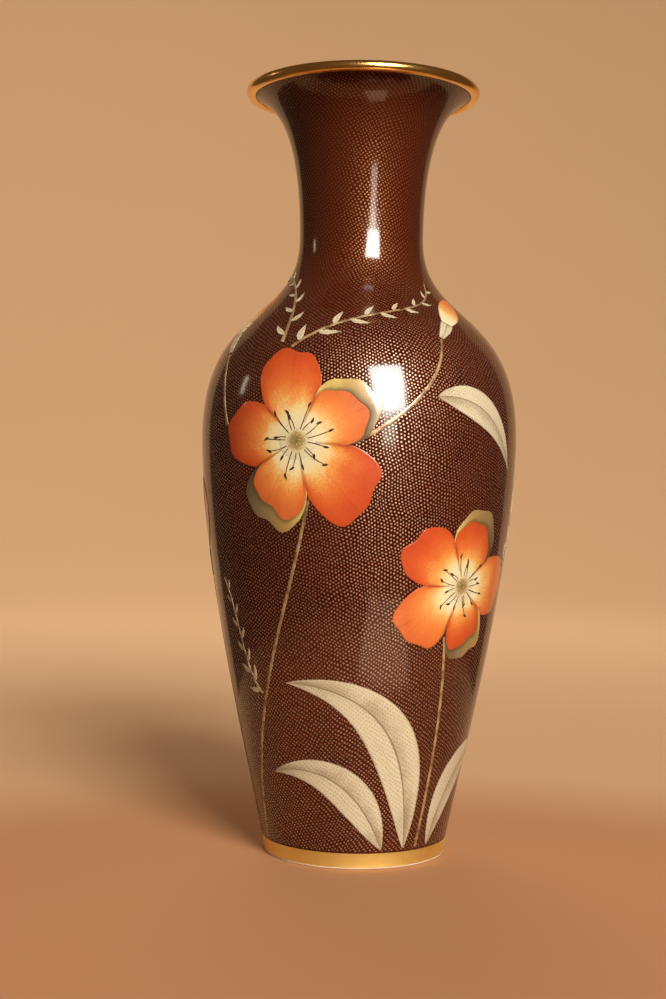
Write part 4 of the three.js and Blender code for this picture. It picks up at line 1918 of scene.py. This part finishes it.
SIDE_CUP = Ribbon(((0, -0.36), (0, -0.26), (0, -0.12), (0, 0)), 0.17, cup_shape)
SIDE_PETALS = {
    "left": Ribbon(((-0.13, 0.03), (-0.42, 0.2), (-0.5, 0.62), (-0.32, 0.96)), 0.12, leaf_shape),
    "middle": Ribbon(((0, 0.016), (0, 0.35), (0, 0.7), (0.02, 1.06)), 0.19, leaf_shape),
    "right": Ribbon(((0.13, 0.03), (0.42, 0.2), (0.5, 0.62), (0.34, 0.92)), 0.12, leaf_shape),
}
BUD_BLOOM = Ribbon(((0, 0.019), (0.02, 0.3), (0.1, 0.6), (0.26, 0.86)), 0.17, bud_shape)
BUD_CUP = Ribbon(((-0.02, -0.36), (-0.01, -0.24), (0, -0.12), (0, 0)), 0.09, cup_shape)


@dataclass
class HalfOpenBlossom:
    """A blossom seen from the side: three petals in a cup.

    Attributes:
        motif: Where it lies.
        size: Its size in flat units.
    """

    motif: Motif
    size: float

    def build(self) -> None:
        """Makes the cup and the petals."""
        name, cup = self.motif.name, SIDE_CUP.scaled(self.size)
        EnamelPainter.lay(self.motif, f"{name}_cup", Finish.CREAM, CUP_GRID, cup.place, OVERLAP)
        for word, shape in SIDE_PETALS.items():
            petal = shape.scaled(self.size)
            EnamelPainter.lay(self.motif, f"{name}_petal_{word}", Finish.ORANGE, SIDE_PETAL_GRID, petal.place)


@dataclass
class Bud:
    """A closed bud in its cup.

    Attributes:
        motif: Where it lies.
        size: Its size in flat units.
    """

    motif: Motif
    size: float

    def build(self) -> None:
        """Makes the bloom and the cup."""
        name, bloom, cup = self.motif.name, BUD_BLOOM.scaled(self.size), BUD_CUP.scaled(self.size)
        EnamelPainter.lay(self.motif, name, Finish.ORANGE, BLOOM_GRID, bloom.place)
        EnamelPainter.lay(self.motif, f"{name}_cup", Finish.CREAM, BUD_CUP_GRID, cup.place, OVERLAP)


@dataclass
class Greenery:
    """One leaf or stem.

    Attributes:
        motif: Where it lies.
        ribbon: Its shape.
        finish: Its finish.
        grid: Its rows and columns of faces.
    """

    motif: Motif
    ribbon: Ribbon
    finish: Finish
    grid: tuple[int, int]

    def build(self) -> None:
        """Makes the leaf or stem."""
        EnamelPainter.lay(self.motif, self.motif.name, self.finish, self.grid, self.ribbon.place)


@dataclass
class Sprig:
    """A thin stem with leaflets to both sides in turn.

    Attributes:
        motif: Where it lies.
        spine: The control places of its stem.
        leaflets: How many leaflets it has.
        leaflet: The length of a leaflet at the stem's foot.
        stem_width: Half the stem's width at its foot.
        blade_width: Half a leaflet's width, as a share of its length.
        curl: How far a leaflet bows back.
        lean: The angle between a leaflet and the stem.
        taper: How much shorter the leaflets get up the stem.
    """

    motif: Motif
    spine: tuple[Flat, Flat, Flat, Flat]
    leaflets: int
    leaflet: float
    stem_width: float = 0.009
    blade_width: float = 0.145
    curl: float = 0.16
    lean: float = math.radians(42)
    taper: float = 0.5

    def blade(self, step: int, steps: int) -> Ribbon:
        """One leaflet.

        Args:
            step: Its place along the stem, an odd number.
            steps: How many steps the stem has.

        Returns:
            The leaflet's ribbon.
        """
        path = Stretch(self.spine)
        share, side = step / steps, 1 if step % 4 == 1 else -1
        at, heading = path.at(share), path.heading(share)
        length = self.leaflet * (1 - self.taper * share)
        normal = (-heading[1] * side, heading[0] * side)
        direction = [heading[k] * math.cos(self.lean) + normal[k] * math.sin(self.lean) for k in (0, 1)]
        ends = []
        for place, bow in ((0, 0), (1 / 3, -1), (2 / 3, -1), (1, 0)):
            out = [direction[k] * place + heading[k] * self.curl * bow for k in (0, 1)]
            ends.append((at[0] + out[0] * length, at[1] + out[1] * length))
        return Ribbon(tuple(ends), length * self.blade_width, leaf_shape)

    def build(self) -> None:
        """Makes the stem, and its leaflets as one piece."""
        name, steps = self.motif.name, 2 * self.leaflets + 1
        stem = Ribbon(self.spine, self.stem_width, stem_shape)
        sheet = EnamelPainter.patch(f"vase_{name}_stem", self.motif, *SPRIG_STEM_GRID, stem.place)
        settle(EnamelPainter.thicken(sheet), Finish.STEM, name)
        pieces = []
        for step in range(1, steps, 2):
            place = self.blade(step, steps).place
            pieces.append(EnamelPainter.patch(f"vase_{name}", self.motif, *LEAFLET_GRID, place, OVERLAP / 2))
        settle(EnamelPainter.thicken(EnamelPainter.join(pieces)), Finish.CREAM, name)


# The painted composition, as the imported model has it

BLOSSOMS = (
    OpenBlossom(Motif("front_blossom", -22, 0.512, 1.0, 12), 0.56, (
        Petal(90, 70, 1, 0.4), Petal(19, 72, 0.94, 2.1, 0.4), Petal(-54, 74, 1.02, 3.7),
        Petal(-127, 72, 0.96, 5.2, -0.35), Petal(-199, 72, 0.92, 1.3))),
    OpenBlossom(Motif("low_blossom", 42, 0.345, 1.09, -20), 0.49, (
        Petal(92, 74, 0.95, 1.9, -0.4), Petal(19, 72, 1.02, 0.8), Petal(-53, 72, 0.93, 4.4, 0.3),
        Petal(-125, 72, 1, 2.9), Petal(-196, 70, 0.96, 5.8))),
    OpenBlossom(Motif("back_blossom", 168, 0.5, 1.0, 30), 0.54, (
        Petal(90, 72, 0.97, 3.1), Petal(18, 72, 1, 4.9, 0.35), Petal(-54, 72, 0.93, 0.2),
        Petal(-126, 72, 1.01, 2.5), Petal(-198, 72, 0.95, 1.6, -0.4))),
)

HALF_OPEN = HalfOpenBlossom(Motif("side_blossom", -88, 0.38, 1.03, 6), 0.48)

BUDS = (
    Bud(Motif("right_bud", 42, 0.665, 1.3, -38), 0.46),
    Bud(Motif("left_bud", -68, 0.65, 1.26, 26), 0.44),
    Bud(Motif("back_bud", 124, 0.61, 1.12, 24), 0.46),
)

LEAVES = (
    (Motif("foot_leaf_long", 29, 0.024, 1.36), ((0, 0), (-0.04, 0.55), (-0.2, 1.05), (-0.78, 1.04)), 0.15),
    (Motif("foot_leaf_low", 15, 0.024, 1.44), ((0, 0), (-0.14, 0.3), (-0.32, 0.6), (-0.74, 0.46)), 0.12),
    (Motif("foot_leaf_right", 47, 0.024, 1.42), ((0, 0), (0.08, 0.4), (0.26, 0.62), (0.56, 0.56)), 0.12),
    (Motif("side_leaf", -98, 0.024, 1.36), ((0, 0), (-0.06, 0.5), (-0.2, 0.8), (-0.56, 0.8)), 0.14),
    (Motif("shoulder_leaf", 27, 0.565, 1.02), ((0, 0), (0.24, 0.02), (0.5, -0.08), (0.66, -0.42)), 0.1),
    (Motif("back_leaf_left", 164, 0.024, 1.33), ((0, 0), (0.1, 0.5), (0.3, 0.95), (0.75, 1.12)), 0.15),
    (Motif("back_leaf_right", 142, 0.024, 1.36), ((0, 0), (-0.1, 0.36), (-0.26, 0.7), (-0.6, 0.7)), 0.13),
)

STEMS = (
    (Motif("low_blossom_stem", 38, 0.024, 1.35), ((0, 0), (0.05, 0.4), (0.04, 0.9), (-0.02, 1.33))),
    (Motif("front_blossom_stem", -66, 0.024, 1.27), ((0, 0), (0.1, 0.6), (0.52, 1.3), (0.655, 2.143))),
    (Motif("side_blossom_stem", -82, 0.024, 1.3), ((0, 0), (0.04, 0.55), (-0.1, 1.1), (-0.066, 1.635))),
    (Motif("right_bud_stem", 13, 0.53, 1.1), ((-0.19, -0.07), (0.02, 0.06), (0.24, 0.24), (0.325, 0.553))),
    (Motif("left_bud_stem", -55, 0.535, 1.05),
     ((0.03, -0.02), (-0.03, 0.12), (-0.07, 0.28), (-0.139, 0.428))),
    (Motif("back_blossom_stem", 153, 0.024, 1.25), ((0, 0), (0.06, 0.6), (0.08, 1.25), (0.17, 1.874))),
    (Motif("back_bud_stem", 143, 0.54, 1.05), ((0.1, -0.04), (-0.06, 0), (-0.2, 0.06), (-0.246, 0.196))),
)
STEM_WIDTH = 0.012

SPRIGS = (
    Sprig(Motif("shoulder_sprig", -18, 0.64, 1.45),
          ((-0.12, -0.08), (0.18, 0.3), (0.6, 0.12), (0.84, 0.52)), 12, 0.13),
    Sprig(Motif("left_sprig", -35, 0.665, 1.55),
          ((0.02, -0.17), (0.03, 0.2), (-0.2, 0.46), (-0.56, 0.46)), 9, 0.11),
    Sprig(Motif("stem_sprig", -50, 0.235, 1.16),
          ((0.06, -0.12), (-0.12, 0.02), (-0.06, 0.34), (-0.2, 0.58)), 10, 0.11),
    Sprig(Motif("right_sprig", 82, 0.46, 1.01),
          ((-0.14, -0.51), (0.16, -0.1), (0.08, 0.4), (0.3, 0.74)), 11, 0.11),
    Sprig(Motif("back_sprig", -150, 0.58, 1.1),
          ((-0.35, 0.02), (0, 0.26), (0.4, 0.06), (0.66, 0.4)), 12, 0.11),
)


# The studio


@dataclass(frozen=True)
class AreaLight:
    """A soft rectangular light.

    Attributes:
        name: The light's name.
        azimuth: Degrees round from the front, to the right.
        elevation: Degrees above the horizon.
        distance: From the place that it looks at.
        size: Its width and height.
        power: Its power in watts.
        colour: Its colour.
        spread: The angle of its beam.
        target: The height on the vase's axis that it looks at.
        shines_up: Whether it lies on the table and shines up instead.
        in_gloss: Whether it shows in the gloss.
    """

    name: str
    azimuth: float
    elevation: float
    distance: float
    size: Flat
    power: float
    colour: Colour
    spread: float = math.pi
    target: float = 0.17
    shines_up: bool = False
    in_gloss: bool = True

    def build(self) -> None:
        """Makes the light, which no camera sees."""
        data = bpy.data.lights.new(self.name, "AREA")
        data.shape, data.size, data.size_y = "RECTANGLE", *self.size
        data.energy, data.color, data.spread = self.power, self.colour, self.spread
        light = bpy.data.objects.new(self.name, data)
        a, e = math.radians(self.azimuth), math.radians(self.elevation)
        back = Vector((math.sin(a) * math.cos(e), -math.cos(a) * math.cos(e), math.sin(e)))
        light.location = Vector((0, 0, self.target)) + back * self.distance
        turned = (math.pi, 0.0, a) if self.shines_up else back.to_track_quat("Z", "Y").to_euler()
        light.rotation_euler = turned
        light.visible_camera = False
        light.visible_glossy = self.in_gloss
        bpy.context.scene.collection.objects.link(light)


BEAM = math.radians(80)
LIGHTS = (
    AreaLight("window", 21, 27.5, 2.0, (0.78, 1.1), 16, (1.0, 0.95, 0.88), BEAM),
    AreaLight("sill", 20, 14, 2.0, (0.42, 0.34), 0.7, (1.0, 0.88, 0.74), BEAM),
    AreaLight("apron", 20, 4.5, 2.0, (0.34, 0.4), 0.5, (1.0, 0.84, 0.68), BEAM),
    AreaLight("table_pool", 21, 0, 0.25, (0.14, 0.14), 0.09, (1.0, 0.62, 0.38), target=0.003, shines_up=True),
    AreaLight("left_fill", -98, 20, 2.0, (0.12, 0.3), 0.6, (1.0, 0.86, 0.7)),
    AreaLight("back_fill", 190, 38, 2.2, (1.4, 1.4), 6, (1.0, 0.93, 0.84), BEAM, in_gloss=False),
)


@dataclass(frozen=True)
class Studio:
    """The camera at the photograph's place, the paper stage and the soft lights.

    Attributes:
        distance: From the camera to the vase's axis.
        eye_height: The camera's height over the floor.
        eye_left: How far the camera stands to the left of the axis.
        pitch: How far it looks down.
        roll: How far it is turned about its own line of sight.
        focal_pixels: Its focal length in pixels of the frame.
        frame_height: The frame's height in pixels.
        sensor: Its sensor's width in millimetres.
        clip_start: How near it sees.
        table_radius: The radius of the floor that shows in the gloss.
        floor_radius: Where the floor begins to curve up.
        stage_radius: How far off the stage's wall stands.
        stage_height: How high the wall is.
        stage_wall: How thick the paper is.
        stage_steps: The steps of the stage's turn.
        curve_steps: The steps of its curve from floor to wall.
        backdrop_left: How far the backdrop that shows in the gloss goes to the left.
        backdrop_right: How far it goes to the right.
        paper_floor: The paper under the vase.
        paper_wall: The paper further off behind it.
        paper_front: The paper further off before it, darkened as painted shade of a dim room.
        paper_glow: The glow of the paper behind, a painted light.
        front_glow: The glow of the paper before it, a painted light.
        stage_centre: How far before the axis the paper's colours have their middle.
        near: Where the paper's colour starts to change.
        far: Where it has changed, and the painted glow behind starts.
        glow_far: Where that light is full.
        front_near: Where colour and light start to change before the vase.
        front_far: Where they have changed.
        cloud: The paper's unevenness.
        cloud_share: How strong that is.
        paper_roughness: How matt the paper is.
        dusk: The colour of the dim room.
        dusk_strength: How bright the room is.
    """

    distance: float = 658.5 * MM
    eye_height: float = 155.5 * MM
    eye_left: float = 10.6 * MM
    pitch: float = 0.0125
    roll: float = 0.0126
    focal_pixels: float = 1558.1
    frame_height: float = 999.0
    sensor: float = 36.0
    clip_start: float = 0.01
    table_radius: float = 0.28
    floor_radius: float = 1.3
    stage_radius: float = 2.2
    stage_height: float = 1.7
    stage_wall: float = 0.02
    stage_steps: int = 96
    curve_steps: int = 12
    backdrop_left: float = math.radians(42)
    backdrop_right: float = math.radians(45)
    paper_floor: Colour = (0.36, 0.163, 0.067)
    paper_wall: Colour = (0.50, 0.30, 0.155)
    paper_front: Colour = (0.10, 0.046, 0.02)
    paper_glow: Colour = (0.32, 0.195, 0.10)
    front_glow: Colour = (0.27, 0.13, 0.06)
    stage_centre: float = 0.15
    near: float = 0.2
    far: float = 0.34
    glow_far: float = 1.3
    front_near: float = 0.25
    front_far: float = 0.9
    cloud: Noise = Noise(3.0, 4.0)
    cloud_share: float = 0.08
    paper_roughness: float = 0.85
    dusk: Colour = (1.0, 0.60, 0.36)
    dusk_strength: float = 0.1

    def build_camera(self) -> None:
        """The camera."""
        data = bpy.data.cameras.new("camera")
        data.sensor_width = self.sensor
        data.lens = self.sensor * self.focal_pixels / self.frame_height
        data.clip_start = self.clip_start
        camera = bpy.data.objects.new("camera", data)
        place = Matrix.Translation((-self.eye_left, -self.distance, self.eye_height))
        turn = Matrix.Rotation(math.pi / 2 - self.pitch, 4, "X") @ Matrix.Rotation(self.roll, 4, "Z")
        camera.matrix_world = place @ turn
        bpy.context.scene.collection.objects.link(camera)
        bpy.context.scene.camera = camera

    def build_stage(self) -> None:
        """A pale floor that curves up into a backdrop all round.

        Only the table and the backdrop behind the vase show in its gloss, as in a dim room.
        """
        bend = self.stage_radius - self.floor_radius
        wall = [(self.table_radius, 0.0), (self.floor_radius, 0.0)]
        for step in range(1, self.curve_steps + 1):
            angle = math.pi / 2 * step / self.curve_steps
            wall.append((self.floor_radius + bend * math.sin(angle), bend * (1 - math.cos(angle))))
        outer = self.stage_radius + self.stage_wall
        wall += [
            (self.stage_radius, self.stage_height), (outer, self.stage_height), (outer, -self.stage_wall),
            (self.table_radius, -self.stage_wall),
        ]
        disc = [(0.0, 0.0), wall[0], wall[-1], (0.0, -self.stage_wall)]
        paper = self.paper_material()
        behind = math.pi / 2
        wide = self.backdrop_left + self.backdrop_right
        for name, outline, end, angle in (
            ("studio_table", disc, 0.0, math.tau),
            ("studio_backdrop", wall, behind + self.backdrop_left, wide),
            ("studio_surround", wall, behind - self.backdrop_right, math.tau - wide),
        ):
            piece = TurnedCoats.spin(name, outline, self.stage_steps, angle)
            piece.data.transform(Matrix.Rotation(end, 4, "Z"))
            piece.data.materials.append(paper)
            piece.visible_glossy = piece.visible_diffuse = name != "studio_surround"

    def paper_material(self) -> bpy.types.Material:
        """The stage's paper, deeper near the vase, and glowing further off, a painted light.

        Returns:
            The material.
        """
        sheet = Sheet("pale_paper")
        place = sheet.place()
        x, y, _ = sheet.pull(place)
        out = away(x, y + self.stage_centre)
        behind, front = y.above(-self.far, self.far), out.above(self.front_near, self.front_far)
        colour = sheet.blend(out.above(self.near, self.far), self.paper_floor, self.paper_wall)
        uneven = self.cloud.over(place).above(0.3, 0.7) * self.cloud_share
        colour = sheet.blend(uneven, colour, self.paper_floor)
        # Further off before the vase the paper darkens, a painted shade of a dim room.
        colour = sheet.blend(behind, sheet.blend(front, self.paper_floor, self.paper_front), colour)
        # Painted light: further off, the paper glows by its own emission, behind and before the vase.
        dark = (0.0, 0.0, 0.0)
        glow = sheet.blend(out.above(self.far, self.glow_far), dark, self.paper_glow)
        glow = sheet.blend(behind, sheet.blend(front, dark, self.front_glow), glow)
        return sheet.finish(
            Base_Color=colour, Roughness=self.paper_roughness, Emission_Color=glow, Emission_Strength=1.0)

    def build_lights(self) -> None:
        """The window's light, what lies under it, its pool on the table, the fills and the dim room."""
        for light in LIGHTS:
            light.build()
        world = bpy.data.worlds.new("surround")
        world.use_nodes = True
        background = world.node_tree.nodes["Background"]
        background.inputs["Color"].default_value = (*self.dusk, 1.0)
        background.inputs["Strength"].default_value = self.dusk_strength
        bpy.context.scene.world = world
        bpy.context.scene.view_settings.view_transform = "Standard"

    def build(self) -> None:
        """Makes the whole studio."""
        self.build_camera()
        self.build_stage()
        self.build_lights()


def main() -> None:
    """Builds the studio and the vase."""
    logging.basicConfig(level=logging.INFO, format="%(name)s: %(message)s")
    Studio().build()
    TurnedCoats(OUTLINE).build()
    for blossom in BLOSSOMS:
        blossom.build()
    HALF_OPEN.build()
    for bud in BUDS:
        bud.build()
    for motif, spine, width in LEAVES:
        Greenery(motif, Ribbon(spine, width, leaf_shape), Finish.CREAM, LEAF_GRID).build()
    for motif, spine in STEMS:
        Greenery(motif, Ribbon(spine, STEM_WIDTH, stem_shape), Finish.STEM, STEM_GRID).build()
    for sprig in SPRIGS:
        sprig.build()


if __name__ == "__main__":
    main()
